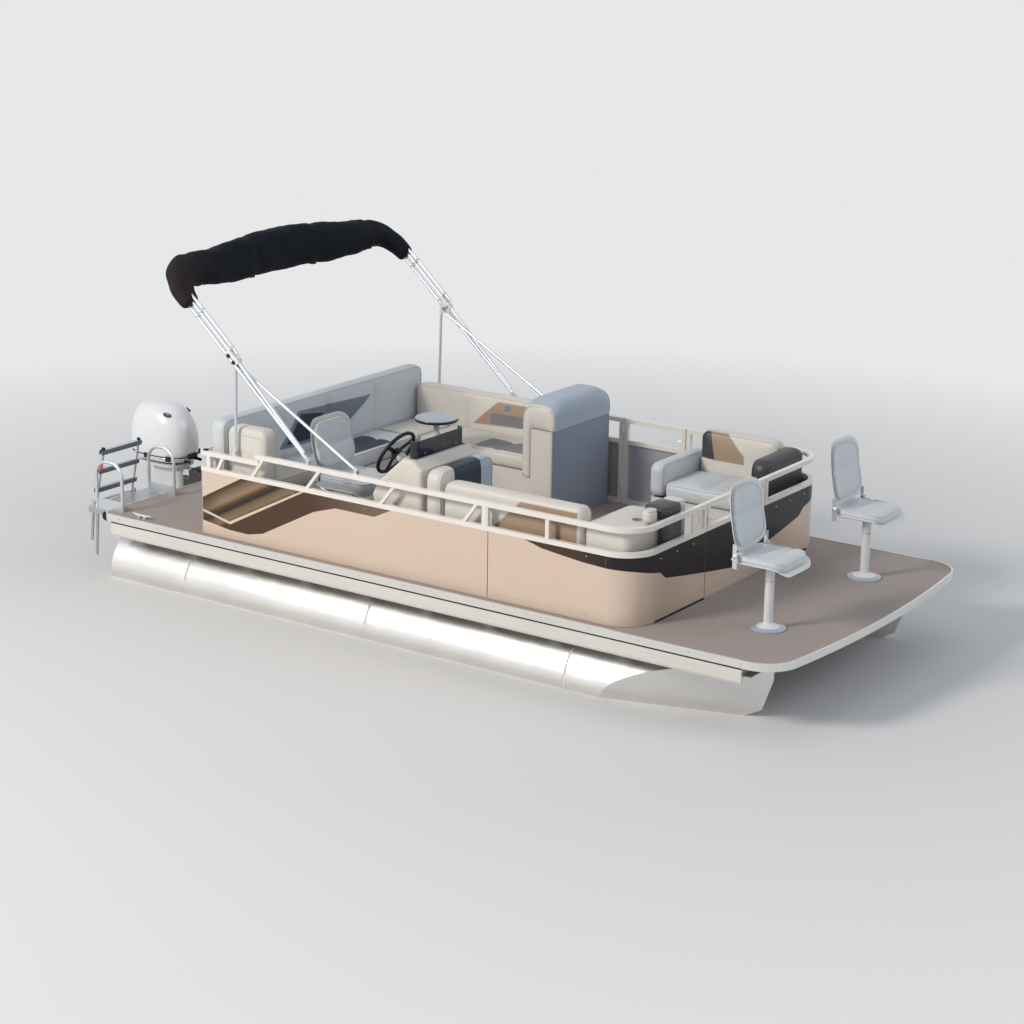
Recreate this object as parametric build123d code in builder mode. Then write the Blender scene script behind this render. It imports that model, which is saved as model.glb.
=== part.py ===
"""Twin-tube fishing pontoon boat, seen afloat.

Frame: +X forward, +Y to port, +Z up, in millimetres. The origin lies on the water
plane, on the centreline, under the deck's aft edge. The deck's top is at deck_top,
and heights of what stands on it are written above the deck.
"""
import os
from math import cos, hypot, radians, sin

from build123d import *

os.makedirs("parts", exist_ok=True)

# hull and deck
beam = 2590
deck_length = 5500
bow_crown = 95
bow_corner = 230
stern_corner = 70
deck_top = 490
deck_thick = 22
cross_height = 90
cross_width = 60
cross_wall = 8
cross_pitch = 520
cross_first = 60
cross_end_gap = 24
riser_height = 50
riser_width = 90
riser_wall = 10
tube_dia = 610
tube_inset = 365
tube_offset = beam / 2 - tube_inset
seat_gap = 0.3
nose_tip = 5300
nose_side_start = 4230
stem_rake = 75
stem_top_drop = 68
stem_low_z = 50
ramp_start = 4560
keel_aft = 150
keel_width = 30
keel_depth = 22
deck_under = deck_top - deck_thick
cross_under = deck_under - cross_height
tube_top = cross_under - riser_height
tube_z = tube_top - tube_dia / 2

# edge of the deck
trim_out = 10
trim_up = 4
trim_depth = 48
groove_depth = 14
groove_in = 9
skirt_depth = 158
skirt_thick = 16
skirt_slant = 70

# fence, heights above the deck
fence_inset = 54
rail = 32
mid_rail = 470
top_rail = 630
aft_rail = 585
aft_rail_end = 1420
fence_aft = 870
fence_front = 4476
fence_corner = 230
fence_aft_corner = 50
fence_half = beam / 2 - fence_inset
inner_half = fence_half - rail
panel_thick = 6
panel_setback = 3
panel_seam = 3346
seam_gap = 6
side_gate_aft = 2830
side_gate_front = 3370
bow_gate_half = 390
gate_gap = 10
hinge_r = 8
hinge_length = 60
strut_width = 26
strut_slants = [(1040, 60), (1350, 115), (1830, 130), (2460, 130), (3140, 120)]
strut_posts = [3330, 3800]

# console and helm
console_aft = 2330
console_front = 2760
console_gap = 59
console_wide = 650
console_out = -(inner_half - console_gap)
console_in = console_out + console_wide
console_mid = (console_in + console_out) / 2
console_wall = 8
dash_low = 600
dash_high = 790
wheel_x = 2215
helm_offset = 95
wheel_y = console_mid + helm_offset
wheel_height = 690
wheel_dia = 360
wheel_rim = 26
column_lean = 30

# lounges, heights above the deck
seat_height = 430
base_height = 305
base_wall = 14
side_gap = 6
back_thick = 140
lounge_gap = 44
lounge_out = inner_half - lounge_gap
cushion_round = 22

# swivel chairs, heights above the deck
chair_x = 1870
chair_y = wheel_y
fishing_x = 5100
fishing_inset = 630
fishing_y = beam / 2 - fishing_inset
post_dia = 60
neck_r = 22
swivel_gap = 0.3

# boarding platform and ladder
platform_aft = -215
platform_inset = 45
platform_wide = 650
platform_out = -(beam / 2 - platform_inset)
platform_in = platform_out + platform_wide
platform_thick = 35
hand_tube = 25
handrail_height = 350
handrail_round = 105
handrail_plate = 70
stile_tube = 25
ladder_lean = 12

# folding top, side view positions above the deck
bow_tube = 25
strut_tube = 22
boot_start = 1390
main_foot = (1850, 672)
bow_lean = 48
bow_pair = 42
bow_pair_low = 14
bow_pair_start = 60
rear_foot = (1175, 628)
front_foot = (2235, 660)
strut_joint = 890
brace_joint = 820
arch_shoulder = 1620
arch_crown = 1740
arch_corner = 220
crown_round = 3000
bow_y = fence_half - rail / 2
brace_gap = 21
brace_y = inner_half - brace_gap
pin_r = 4
pin_clear = 0.06
eye_r = 12
eye_thick = 14
eye_reach = 24

# outboard motor
transom_x = -150
transom_top = 440
transom_height = 508
pod_width = 760
tilt_x = -205
tilt_z = 500
steer_x = -305
steer_pin_r = 20
tilt_pin_r = 14
prop_shaft_r = 14
bore_clear = 0.06
prop_z = -245
prop_dia = 350
prop_blades = 3

far = 20000


def save(part, name):
    part.label = name
    export_step(part, f"parts/{name}.step")


def box_part(x0, x1, y0, y1, z0, z1):
    with BuildPart() as box:
        with Locations(((x0 + x1) / 2, (y0 + y1) / 2, (z0 + z1) / 2)):
            Box(x1 - x0, y1 - y0, z1 - z0)
    return box.part


def cushion(x0, x1, y0, y1, z0, z1, radius=cushion_round, flat_below=False):
    """A cushion's plain closed solid, heights above the deck, square below where it is screwed down."""
    with BuildPart() as pad:
        add(box_part(x0, x1, y0, y1, deck_top + z0, deck_top + z1))
        edges = pad.edges()
        fillet(edges - edges.group_by(Axis.Z)[0] if flat_below else edges, radius)
    return pad.part


def round_tube(points, radii, dia):
    """A round tube along straight runs joined by arcs."""
    with BuildPart() as pipe:
        with BuildLine() as route:
            if len(points) == 2:
                Line(*points)
            else:
                FilletPolyline(*points, radius=radii)
        with BuildSketch(Plane(origin=route.line @ 0, z_dir=route.line % 0)):
            Circle(dia / 2)
        sweep()
    return pipe.part


def side_plate(points, y0, y1, radius=0):
    """A plate cut to an outline of the side view and running from y0 to y1."""
    with BuildPart() as plate:
        with BuildSketch(Plane.XZ.offset(-y1)) as outline:
            with BuildLine():
                Polyline(*points, close=True)
            make_face()
            if radius:
                fillet(outline.vertices(), radius)
        extrude(amount=y1 - y0)
    return plate.part


# the twin tubes, each with its keel and wedge nose
def pontoon(side):
    centre = side * tube_offset
    radius = tube_dia / 2
    bottom = tube_z - radius
    stem_top = Vector(nose_tip, centre, tube_top - stem_top_drop)
    stem_low = Vector(nose_tip - stem_rake, centre, stem_low_z)
    ramp_aft = Vector(ramp_start, centre, bottom)
    with BuildPart() as tube:
        with BuildSketch(Plane.YZ):
            with Locations((centre, tube_z)):
                Circle(radius)
        extrude(amount=nose_tip)
        for hand in (-1, 1):
            shoulder = Vector(nose_side_start, centre + hand * radius, tube_z)
            cheek = (stem_top - stem_low).cross(shoulder - stem_low)
            if cheek.Y * hand < 0:
                cheek = cheek * -1
            split(bisect_by=Plane(origin=shoulder, z_dir=cheek), keep=Keep.BOTTOM)
        rise = stem_low - ramp_aft
        split(bisect_by=Plane(origin=ramp_aft, z_dir=(rise.Z, 0, -rise.X)), keep=Keep.BOTTOM)
        add(side_plate([(keel_aft, bottom + keel_depth), (keel_aft, bottom - keel_depth),
                        (ramp_start - keel_depth, bottom - keel_depth), (ramp_start, bottom + keel_depth)],
                       centre - keel_width / 2, centre + keel_width / 2))
    return tube.part


save(pontoon(-1), "pontoon_starboard")
save(pontoon(1), "pontoon_port")

with BuildPart() as cross_frame:
    for centre in (-tube_offset, tube_offset):
        with BuildSketch(Plane.YZ.offset(cross_first)):
            with Locations((centre, cross_under)):
                Rectangle(riser_width, 2 * riser_height, align=(Align.CENTER, Align.MAX))
                Rectangle(riser_width - 2 * riser_wall, 2 * riser_height + riser_wall,
                          align=(Align.CENTER, Align.MAX), mode=Mode.SUBTRACT)
                Rectangle(riser_width, riser_wall, align=(Align.CENTER, Align.MAX))
            with Locations((centre, tube_z)):
                Circle(tube_dia / 2 + seat_gap, mode=Mode.SUBTRACT)
        extrude(amount=ramp_start)
    cross_count = int((deck_length - cross_first - 2 * cross_width) // cross_pitch) + 1
    for step in range(cross_count):
        aft = cross_first + step * cross_pitch
        half = beam / 2 - cross_end_gap
        web = [(aft, deck_under), (aft + cross_width, deck_under),
               (aft + cross_width, deck_under - cross_wall),
               (aft + cross_wall, deck_under - cross_wall), (aft + cross_wall, cross_under + cross_wall),
               (aft + cross_width, cross_under + cross_wall), (aft + cross_width, cross_under),
               (aft, cross_under)]
        add(side_plate(web, -half, half))
save(cross_frame.part, "cross_frame")


# the deck, its edge trim and the side skirts
def deck_plan(margin):
    """The deck's outline seen from above, grown outwards by margin."""
    half = beam / 2 + margin
    front = deck_length + margin
    with BuildSketch() as plan:
        with BuildLine():
            Line((-margin, -half), (-margin, half))
            Line((-margin, half), (front, half))
            ThreePointArc((front, half), (front + bow_crown, 0), (front, -half))
            Line((front, -half), (-margin, -half))
        make_face()
        fillet(plan.vertices().group_by(Axis.X)[0], stern_corner + margin)
        fillet(plan.vertices().group_by(Axis.X)[-1], bow_corner + margin)
    return plan.sketch


with BuildPart() as deck:
    with BuildSketch(Plane.XY.offset(deck_under)):
        add(deck_plan(0))
    extrude(amount=deck_thick)
save(deck.part, "deck")

with BuildPart() as deck_trim:
    with BuildSketch(Plane.XY.offset(deck_top - trim_depth)):
        add(deck_plan(trim_out))
        add(deck_plan(0), mode=Mode.SUBTRACT)
    extrude(amount=trim_depth + trim_up)
save(deck_trim.part, "deck_trim")

with BuildPart() as side_skirts:
    for side in (-1, 1):
        face = side * beam / 2
        low = deck_top - skirt_depth
        profile = [(face, deck_under), (face, deck_top - trim_depth),
                   (face - side * groove_in, deck_top - trim_depth),
                   (face - side * groove_in, deck_top - trim_depth - groove_depth),
                   (face, deck_top - trim_depth - groove_depth), (face, low + skirt_thick),
                   (face - side * skirt_thick / 2, low), (face - side * skirt_thick, low),
                   (face - side * skirt_thick, deck_under)]
        with BuildSketch(Plane.YZ.offset(stern_corner)):
            with BuildLine():
                Polyline(*profile, close=True)
            make_face()
        extrude(amount=deck_length - bow_corner - stern_corner)
    front = deck_length - bow_corner
    add(side_plate([(front + skirt_slant, deck_top), (front - skirt_slant, 0), (front + far, 0),
                    (front + far, deck_top)], -beam, beam), mode=Mode.SUBTRACT)
save(side_skirts.part, "side_skirts")


# the fence: rails and skins are rings in plan, cut into sections at the gates
def fence_plan(depth):
    """The fence's outline seen from above, depth inside its outer face."""
    half = beam / 2 - fence_inset - depth
    aft = fence_aft + depth
    front = fence_front - depth
    with BuildSketch() as plan:
        with BuildLine():
            Polyline((aft, -half), (aft, half), (front, half), (front, -half), close=True)
        make_face()
        fillet(plan.vertices().group_by(Axis.X)[0], max(fence_aft_corner - depth, 4))
        fillet(plan.vertices().group_by(Axis.X)[-1], fence_corner - depth)
    return plan.sketch


def fence_ring(outer, inner, low, high):
    """A ring from outer to inner, both measured in from the fence's face."""
    with BuildPart() as ring:
        with BuildSketch(Plane.XY.offset(deck_top + low)):
            add(fence_plan(outer))
            add(fence_plan(inner), mode=Mode.SUBTRACT)
        extrude(amount=high - low)
    return ring.part


def within(part, boxes):
    """The part of a ring that lies in plan boxes x0, x1, y0, y1."""
    with BuildPart() as region:
        for x0, x1, y0, y1 in boxes:
            add(box_part(x0, x1, y0, y1, -far, far))
    with BuildPart() as piece:
        add(part)
        add(region.part, mode=Mode.INTERSECT)
    return piece.part


skin_back = panel_setback + panel_thick
mid_low = mid_rail - rail / 2
base_ring = fence_ring(skin_back, rail, 0, rail)
mid_ring = fence_ring(0, rail, mid_low, mid_rail + rail / 2)
top_ring = within(fence_ring(0, rail, top_rail - rail / 2, top_rail + rail / 2),
                  [(aft_rail_end - rail, far, -far, far)])
aft_ring = within(fence_ring(0, rail, aft_rail - rail / 2, aft_rail + rail / 2),
                  [(0, aft_rail_end, -far, far)])
skin_ring = fence_ring(panel_setback, skin_back, 2, mid_low)


def post_at(x, y, along_x, high=top_rail):
    """A square post, thinner below the middle rail, where the skin passes it."""
    back = rail - skin_back
    half = rail / 2
    with BuildPart() as post:
        add(box_part(x - half, x + half, y - half, y + half, deck_top + mid_low, deck_top + high))
        if along_x:
            inward = -1 if y > 0 else 1
            inner = y + inward * half
            low_y, high_y = sorted((inner, inner - inward * back))
            add(box_part(x - half, x + half, low_y, high_y, deck_top, deck_top + mid_low))
        else:
            add(box_part(x - half, x - half + back, y - half, y + half, deck_top, deck_top + mid_low))
    return post.part


side_line = fence_half - rail / 2
bow_line = fence_front - rail / 2
bow_post = bow_gate_half + gate_gap + rail / 2
stern_post = fence_aft + rail / 2 + fence_aft_corner


def side_struts(side, reach):
    """Slanted and upright struts between the middle and the top rail, within reach."""
    with BuildPart() as struts:
        half = strut_width / 2
        y0 = side * side_line - half
        for foot, slant in strut_slants:
            if reach[0] < foot and foot + slant < reach[1]:
                high = aft_rail if foot + slant < aft_rail_end - rail else top_rail
                add(side_plate([(foot - half, deck_top + mid_rail), (foot + half, deck_top + mid_rail),
                                (foot + slant + half, deck_top + high),
                                (foot + slant - half, deck_top + high)], y0, y0 + strut_width))
        for x in strut_posts:
            if reach[0] < x < reach[1]:
                add(box_part(x - half, x + half, y0, y0 + strut_width,
                             deck_top + mid_rail, deck_top + top_rail))
    return struts.part


hinge_low = 120
hinge_high = 540
hinge_pin_r = 3
hinge_leaf = 4
hinge_leaf_wide = 26
side_hinge = (side_gate_aft + gate_gap / 2, inner_half - hinge_r)
bow_hinge = (fence_front - rail - hinge_r, bow_gate_half - gate_gap / 2)


def hinge_half(spot, along_x, toward, on_gate):
    """Barrels and leaves of two hinges: the post's have the pins, the gate's the bores."""
    x, y = spot
    with BuildPart() as half:
        for z in (hinge_low, hinge_high):
            low = deck_top + z + (hinge_length / 2 + 0.5 if on_gate else 0)
            span = hinge_length / 2 - 0.5
            with BuildSketch(Plane.XY.offset(low)):
                with Locations((x, y)):
                    Circle(hinge_r)
            extrude(amount=span)
            if along_x:
                x0, x1 = sorted((x, x + toward * hinge_leaf_wide))
                add(box_part(x0, x1, y + hinge_r - hinge_leaf, y + hinge_r, low, low + span))
            else:
                y0, y1 = sorted((y, y + toward * hinge_leaf_wide))
                add(box_part(x + hinge_r - hinge_leaf, x + hinge_r, y0, y1, low, low + span))
            with BuildSketch(Plane.XY.offset(deck_top + z)):
                with Locations((x, y)):
                    Circle(hinge_pin_r + (pin_clear if on_gate else 0))
            extrude(amount=hinge_length, mode=Mode.SUBTRACT if on_gate else Mode.ADD)
    return half.part


bow_aft = fence_front - fence_corner
# each section: plan boxes, side, reach along X, rings, posts as x, y, runs along X, top
sections = {
    "starboard": [
        ([(fence_aft + rail, far, -far, -inner_half), (bow_aft, far, -far, -bow_gate_half)],
         -1, (fence_aft, fence_front), (base_ring, mid_ring, top_ring, aft_ring),
         [(stern_post + rail, -side_line, True, aft_rail), (panel_seam - rail, -side_line, True, top_rail),
          (bow_line, -bow_post + gate_gap, False, top_rail)])],
    "port": [
        ([(side_gate_front, far, inner_half, far), (bow_aft, far, bow_gate_half, far)],
         1, (side_gate_front, fence_front), (base_ring, mid_ring, top_ring),
         [(side_gate_front + rail / 2, side_line, True, top_rail),
          (bow_line, bow_post - gate_gap, False, top_rail)]),
        ([(fence_aft + rail, side_gate_aft, inner_half, far)],
         1, (fence_aft, side_gate_aft), (base_ring, mid_ring, top_ring, aft_ring),
         [(stern_post + rail, side_line, True, aft_rail),
          (side_gate_aft - rail / 2, side_line, True, top_rail)])],
}
lamp_plate_wide = 134
lamp_plate_thick = 6
lamp_hole_r = 22
for name, runs in sections.items():
    with BuildPart() as rails:
        for boxes, side, reach, rings, posts in runs:
            for ring in rings:
                add(within(ring, boxes))
            add(side_struts(side, reach))
            for x, y, along_x, high in posts:
                add(post_at(x, y, along_x, high))
        if name == "port":
            add(hinge_half(side_hinge, True, -1, False))
            add(hinge_half(bow_hinge, False, 1, False))
        else:
            plate_y = -bow_post + gate_gap - rail / 2 - lamp_plate_wide / 2 + 1
            plate_z = deck_top + (mid_rail + top_rail) / 2
            add(box_part(bow_line - lamp_plate_thick / 2, bow_line + lamp_plate_thick / 2,
                         plate_y - lamp_plate_wide / 2, plate_y + lamp_plate_wide / 2,
                         deck_top + mid_rail, deck_top + top_rail))
            with Locations(Location((bow_line, plate_y, plate_z), (0, 90, 0))):
                Cylinder(lamp_hole_r, 2 * lamp_plate_thick, mode=Mode.SUBTRACT)
    with BuildPart() as skins:
        for boxes, *_ in runs:
            add(within(skin_ring, boxes))
        if name == "starboard":
            with Locations((panel_seam, -side_line, deck_top + mid_rail / 2)):
                Box(seam_gap, rail, mid_rail, mode=Mode.SUBTRACT)
    save(rails.part, f"rails_{name}")
    save(skins.part, f"panels_{name}")

stern_boxes = [(0, fence_aft + rail, -far, far)]
with BuildPart() as rails_stern:
    for ring in (base_ring, mid_ring, aft_ring):
        add(within(ring, stern_boxes))
    for y in (-inner_half / 2, inner_half / 2):
        add(box_part(fence_aft + skin_back, fence_aft + rail, y - rail / 2, y + rail / 2,
                     deck_top, deck_top + mid_low))
        add(box_part(fence_aft, fence_aft + rail, y - rail / 2, y + rail / 2,
                     deck_top + mid_rail, deck_top + aft_rail))
save(rails_stern.part, "rails_stern")
save(within(skin_ring, stern_boxes), "panels_stern")


def gate(boxes, ends, along_x, name, spot, toward):
    """A framed gate cut from the same rings as the fence, with a post at each end."""
    with BuildPart() as frame:
        add(hinge_half(spot, along_x, toward, True))
        for ring in (base_ring, mid_ring, top_ring):
            add(within(ring, boxes))
        for end in ends:
            x, y = (end, side_line) if along_x else (bow_line, end)
            add(post_at(x, y, along_x))
    save(frame.part, f"{name}_frame")
    save(within(skin_ring, boxes), f"{name}_skin")


gate([(side_gate_aft + gate_gap, side_gate_front - gate_gap, inner_half, far)],
     (side_gate_aft + gate_gap + rail / 2, side_gate_front - gate_gap - rail / 2),
     True, "side_gate", side_hinge, 1)
gate([(fence_front - fence_corner, far, -bow_gate_half + gate_gap, bow_gate_half - gate_gap)],
     (-bow_gate_half + gate_gap + rail / 2, bow_gate_half - gate_gap - rail / 2),
     False, "bow_gate", bow_hinge, -1)


# console, a hollow moulding open to the deck and to the helmsman's feet
dash_aft = console_aft + 40
dash_front = console_aft + 250
dash_shelf = 90
kick_in = 90
front_drop = 60
front_slope = 20
console_round = 28
footwell_low = 40
footwell_high = 440
footwell_deep = 150
footwell_side = 80
with BuildPart() as console:
    add(side_plate([(console_aft + kick_in, deck_top), (console_front, deck_top),
                    (console_front - front_slope, deck_top + dash_high - front_drop),
                    (dash_front + dash_shelf, deck_top + dash_high), (dash_front, deck_top + dash_high),
                    (dash_aft, deck_top + dash_low), (console_aft, deck_top + dash_low - kick_in)],
                   console_out, console_in))
    upper = console.edges().filter_by(lambda edge: edge.center().Z > deck_top + 1)
    fillet(upper.filter_by(Axis.Y, reverse=True), console_round)
    offset(amount=-console_wall, openings=console.faces().sort_by(Axis.Z)[0])
    add(box_part(console_aft - footwell_deep, console_aft + footwell_deep, console_out + footwell_side,
                 console_in - footwell_side, deck_top + footwell_low, deck_top + footwell_high),
        mode=Mode.SUBTRACT)

screen_thick = 5
screen_height = 120
screen_inset = 55
screen_wide = console_wide - 2 * screen_inset
screen_deep = 70
screen_round = 30
screen_seat = 4
screen_open = 30
with BuildPart() as windscreen:
    with BuildSketch(Plane.XY.offset(deck_top + dash_high - screen_seat)):
        with Locations((dash_front + dash_shelf / 2, console_mid)):
            RectangleRounded(screen_deep, screen_wide, screen_round)
            RectangleRounded(screen_deep - 2 * screen_thick, screen_wide - 2 * screen_thick,
                             screen_round - screen_thick, mode=Mode.SUBTRACT)
    extrude(amount=screen_height)
    add(box_part(dash_front - screen_deep, dash_front + screen_open, -beam, beam, 0, far),
        mode=Mode.SUBTRACT)
    split(bisect_by=Plane.XY.offset(deck_top + dash_high), keep=Keep.TOP)
save(windscreen.part, "windscreen")

# steering wheel on its column, leaning back towards the helm
lean = radians(column_lean)
column_axis = Vector(-cos(lean), 0, sin(lean))
wheel_centre = Vector(wheel_x, wheel_y, deck_top + wheel_height)
wheel_plane = Plane(origin=wheel_centre, x_dir=(0, 1, 0), z_dir=column_axis)
hub_depth = 36
hub_face = 8
wheel_hub_r = 38
spoke_wide = 30
spoke_thick = 10
spoke_sink = 6
column_r = 34
column_long = 260
with BuildPart() as steering_wheel:
    with BuildSketch(Plane(origin=wheel_centre, x_dir=(0, 1, 0), z_dir=wheel_plane.y_dir)):
        with Locations((wheel_dia / 2 - wheel_rim / 2, 0)):
            Circle(wheel_rim / 2)
    revolve(axis=Axis(wheel_centre, column_axis), revolution_arc=360)
    with BuildSketch(wheel_plane.offset(-hub_depth)):
        Circle(wheel_hub_r)
    extrude(amount=hub_depth + hub_face)
    with BuildSketch(wheel_plane.offset(-spoke_sink)):
        with PolarLocations(0, 3, start_angle=90):
            with Locations((wheel_dia / 4, 0)):
                Rectangle(wheel_dia / 2 - wheel_rim, spoke_wide)
    extrude(amount=spoke_thick)
save(steering_wheel.part, "steering_wheel")

with BuildPart() as steering_column:
    column_start = wheel_centre - column_axis * (hub_depth + seat_gap)
    with BuildSketch(Plane(origin=column_start, z_dir=column_axis * -1)):
        Circle(column_r)
    extrude(amount=column_long)
with BuildPart() as console_whole:
    add(console.part)
    add(steering_column.part)
save(console_whole.part, "console")

dash_margin = 40
dash_top_margin = 30
dash_round = 20
dash_thick = 7
gauge_count = 4
gauge_pitch = 130
gauge_r = 44
gauge_face_r = 36
gauge_rim = 6
dash_slope = hypot(dash_front - dash_aft, dash_high - dash_low)
dash_normal = Vector(-(dash_high - dash_low), 0, dash_front - dash_aft).normalized()
dash_centre = Vector((dash_aft + dash_front) / 2, console_mid, deck_top + (dash_low + dash_high) / 2)
with BuildPart() as dash_panel:
    with BuildSketch(Plane(origin=dash_centre, x_dir=(0, 1, 0), z_dir=dash_normal)):
        RectangleRounded(console_wide - 2 * dash_margin, dash_slope - 2 * dash_top_margin, dash_round)
    extrude(amount=dash_thick)
    gauge_plane = Plane(origin=dash_centre + dash_normal * dash_thick, x_dir=(0, 1, 0), z_dir=dash_normal)
    with BuildSketch(gauge_plane):
        with GridLocations(gauge_pitch, 0, gauge_count, 1):
            Circle(gauge_r)
            Circle(gauge_face_r, mode=Mode.SUBTRACT)
    extrude(amount=gauge_rim)
    add(steering_column.part, mode=Mode.SUBTRACT)
save(dash_panel.part, "dash_panel")


# lounges: hollow bases open at the top, lids that are the seat cushions, fixed backs
base_inner = lounge_out - back_thick
base_setback = 30
base_clear = 2
base_under_arm = 5
base_under_rest = 4
base_round = 30
seat_deep = 465
front_deep = 485
stern_gap = 4
stern_tuck = 15
stern_back = fence_aft + rail + stern_gap
stern_seat = stern_back + back_thick + stern_tuck
stern_front = 1425
port_in = base_inner - seat_deep
front_in = base_inner - front_deep
end_aft = 2480
end_front = 2750
end_wide = 765
end_in = lounge_out - end_wide
end_low = 680
end_high = 870
end_pad = 70
end_round = 80
front_gap = 80
front_end = fence_front - rail - front_gap
gate_room = 85
port_front_aft = side_gate_front + gate_room
arm_thick = 124
bow_arm_thick = 144
rest_gap = 12
rest_thick = 142
star_aft = console_front + rest_gap + rest_thick + side_gap
corner_long = 340
corner_aft = front_end - corner_long
corner_high = 610
corner_inset = 60


def base_box(x0, x1, y0, y1, high=base_height):
    """A moulded seat base, open at the top."""
    with BuildPart() as base:
        add(box_part(x0, x1, y0, y1, deck_top, deck_top + high))
        fillet(base.edges().filter_by(Axis.Z), base_round)
        offset(amount=-base_wall, openings=base.faces().sort_by(Axis.Z)[-1])
    return base.part


# bases: x0, x1, y0, y1
bases = [
    (stern_back, stern_front - base_setback, -lounge_out, lounge_out),
    (stern_front + base_clear, end_aft - base_clear, port_in + base_setback, lounge_out),
    (port_front_aft + base_under_arm, front_end, front_in + base_setback, lounge_out),
    (console_front + rest_gap - base_under_rest, corner_aft - 2 * rest_gap,
     -lounge_out, -front_in - base_setback),
]
with BuildPart() as lounge_bases:
    for plan in bases:
        add(base_box(*plan))
save(lounge_bases.part, "lounge_bases")

stern_lid = base_inner - seat_deep
seat_low = base_height + seat_gap
# seat lids: x0, x1, y0, y1
lids = {
    "seat_stern": (stern_seat, stern_front, -stern_lid, stern_lid),
    "seat_port": (stern_front + side_gap, end_aft - side_gap, port_in, base_inner - side_gap),
    "seat_port_front": (port_front_aft + arm_thick + side_gap, front_end - bow_arm_thick - side_gap,
                        front_in, base_inner - side_gap),
    "seat_starboard_front": (star_aft, corner_aft - side_gap, -base_inner + side_gap, -front_in),
}
for name, (x0, x1, y0, y1) in lids.items():
    save(cushion(x0, x1, y0, y1, seat_low, seat_height), name)

# tops of the fixed cushions above the deck
stern_high = 820
wing_high = 800
port_high = 700
port_front_high = 720
star_high = 705
gate_arm_high = 560
bow_arm_high = 690
rest_high = 760
arm_round = 40
back_round = 30
# backs: x0, x1, y0, y1, low, high
backs = [
    (stern_back, stern_back + back_thick, -lounge_out, lounge_out, seat_low, stern_high),
    (stern_seat, stern_front, -lounge_out, -base_inner, seat_low, wing_high),
    (star_aft, corner_aft - side_gap, -lounge_out, -base_inner, seat_low, star_high),
    (stern_seat, end_aft - side_gap, base_inner, lounge_out, seat_low, port_high),
    (port_front_aft + arm_thick + side_gap, front_end - bow_arm_thick - seat_gap, base_inner, lounge_out,
     seat_low, port_front_high),
]
with BuildPart() as lounge_backs:
    for plan in backs:
        add(cushion(*plan, radius=back_round, flat_below=True))
save(lounge_backs.part, "lounge_backs")

with BuildPart() as lounge_end:
    add(box_part(end_aft + end_pad + seat_gap, end_front, end_in, lounge_out, deck_top, deck_top + end_low))
    fillet(lounge_end.edges().filter_by(Axis.Z), base_round)
save(lounge_end.part, "lounge_end")

# its cushion lies over the top and hangs down the aft side, behind the port seat
with BuildPart() as lounge_end_cushion:
    with BuildSketch(Plane.XZ.offset(-lounge_out)) as hood:
        with BuildLine():
            Polyline((end_aft, deck_top + seat_low), (end_aft, deck_top + end_high),
                     (end_front, deck_top + end_high), (end_front, deck_top + end_low + seat_gap),
                     (end_aft + end_pad, deck_top + end_low + seat_gap),
                     (end_aft + end_pad, deck_top + seat_low), close=True)
        make_face()
        fillet(hood.vertices().group_by(Axis.Y)[-1], end_round)
    extrude(amount=end_wide)
    sides = lounge_end_cushion.faces().group_by(Axis.Y)
    fillet(sides[0].edges() + sides[-1].edges(), cushion_round)
save(lounge_end_cushion.part, "lounge_end_cushion")

with BuildPart() as fixed_cushions:
    for side in (-1, 1):
        y0, y1 = sorted((side * (stern_lid + side_gap), side * (base_inner - side_gap)))
        add(cushion(stern_seat, stern_front, y0, y1, seat_low, seat_height, flat_below=True))
    add(cushion(port_front_aft, port_front_aft + arm_thick, front_in, lounge_out,
                seat_low, gate_arm_high, arm_round, True))
    add(cushion(front_end - bow_arm_thick, front_end, front_in + corner_inset, lounge_out,
                seat_low, bow_arm_high, arm_round, True))
    add(cushion(console_front + rest_gap, star_aft - side_gap, -lounge_out, -front_in,
                seat_low, rest_high, arm_round, True))
save(fixed_cushions.part, "fixed_cushions")

holder_r = 42
holder_deep = 75
holder_aft = 110
holder_in = 140
holder_x = front_end - holder_aft
holder_y = -base_inner + holder_in
with BuildPart() as corner_table:
    add(box_part(corner_aft, front_end, -lounge_out, -front_in - corner_inset,
                 deck_top, deck_top + corner_high))
    fillet(corner_table.edges().filter_by(Axis.Z), corner_inset)
    fillet(corner_table.faces().sort_by(Axis.Z)[-1].edges(), corner_inset / 4)
    with Locations((holder_x, holder_y, deck_top + corner_high)):
        Hole(holder_r, depth=holder_deep)
save(corner_table.part, "corner_table")

# table between the lounges
table_x = 1780
table_y = 330
table_height = 640
table_dia = 320
table_thick = 28
with BuildPart() as table_top:
    with BuildSketch(Plane.XY.offset(deck_top + table_height)):
        with Locations((table_x, table_y)):
            Circle(table_dia / 2)
    extrude(amount=table_thick)
    fillet(table_top.edges(), table_thick / 3)
save(table_top.part, "table_top")

# swivel chairs
foot_r = 115
foot_edge = 8
cone_r = 60
cone_high = 22
cone_top = 40
neck_length = 90


def pedestal(x, y, high):
    """A post on its round foot, turned down at the top to the neck that a seat's collar drops over."""
    with BuildPart() as stand:
        with BuildSketch(Plane.XZ) as profile:
            with BuildLine():
                Polyline((0, deck_top), (foot_r, deck_top), (foot_r, deck_top + foot_edge),
                         (cone_r, deck_top + cone_high), (post_dia / 2, deck_top + cone_top),
                         (post_dia / 2, deck_top + high - neck_length),
                         (neck_r, deck_top + high - neck_length),
                         (neck_r, deck_top + high), (0, deck_top + high), close=True)
            make_face()
        revolve(axis=Axis.Z)
    return stand.part.moved(Location((x, y, 0)))


chair_seat_low = 370
fishing_seat_low = 400
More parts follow.
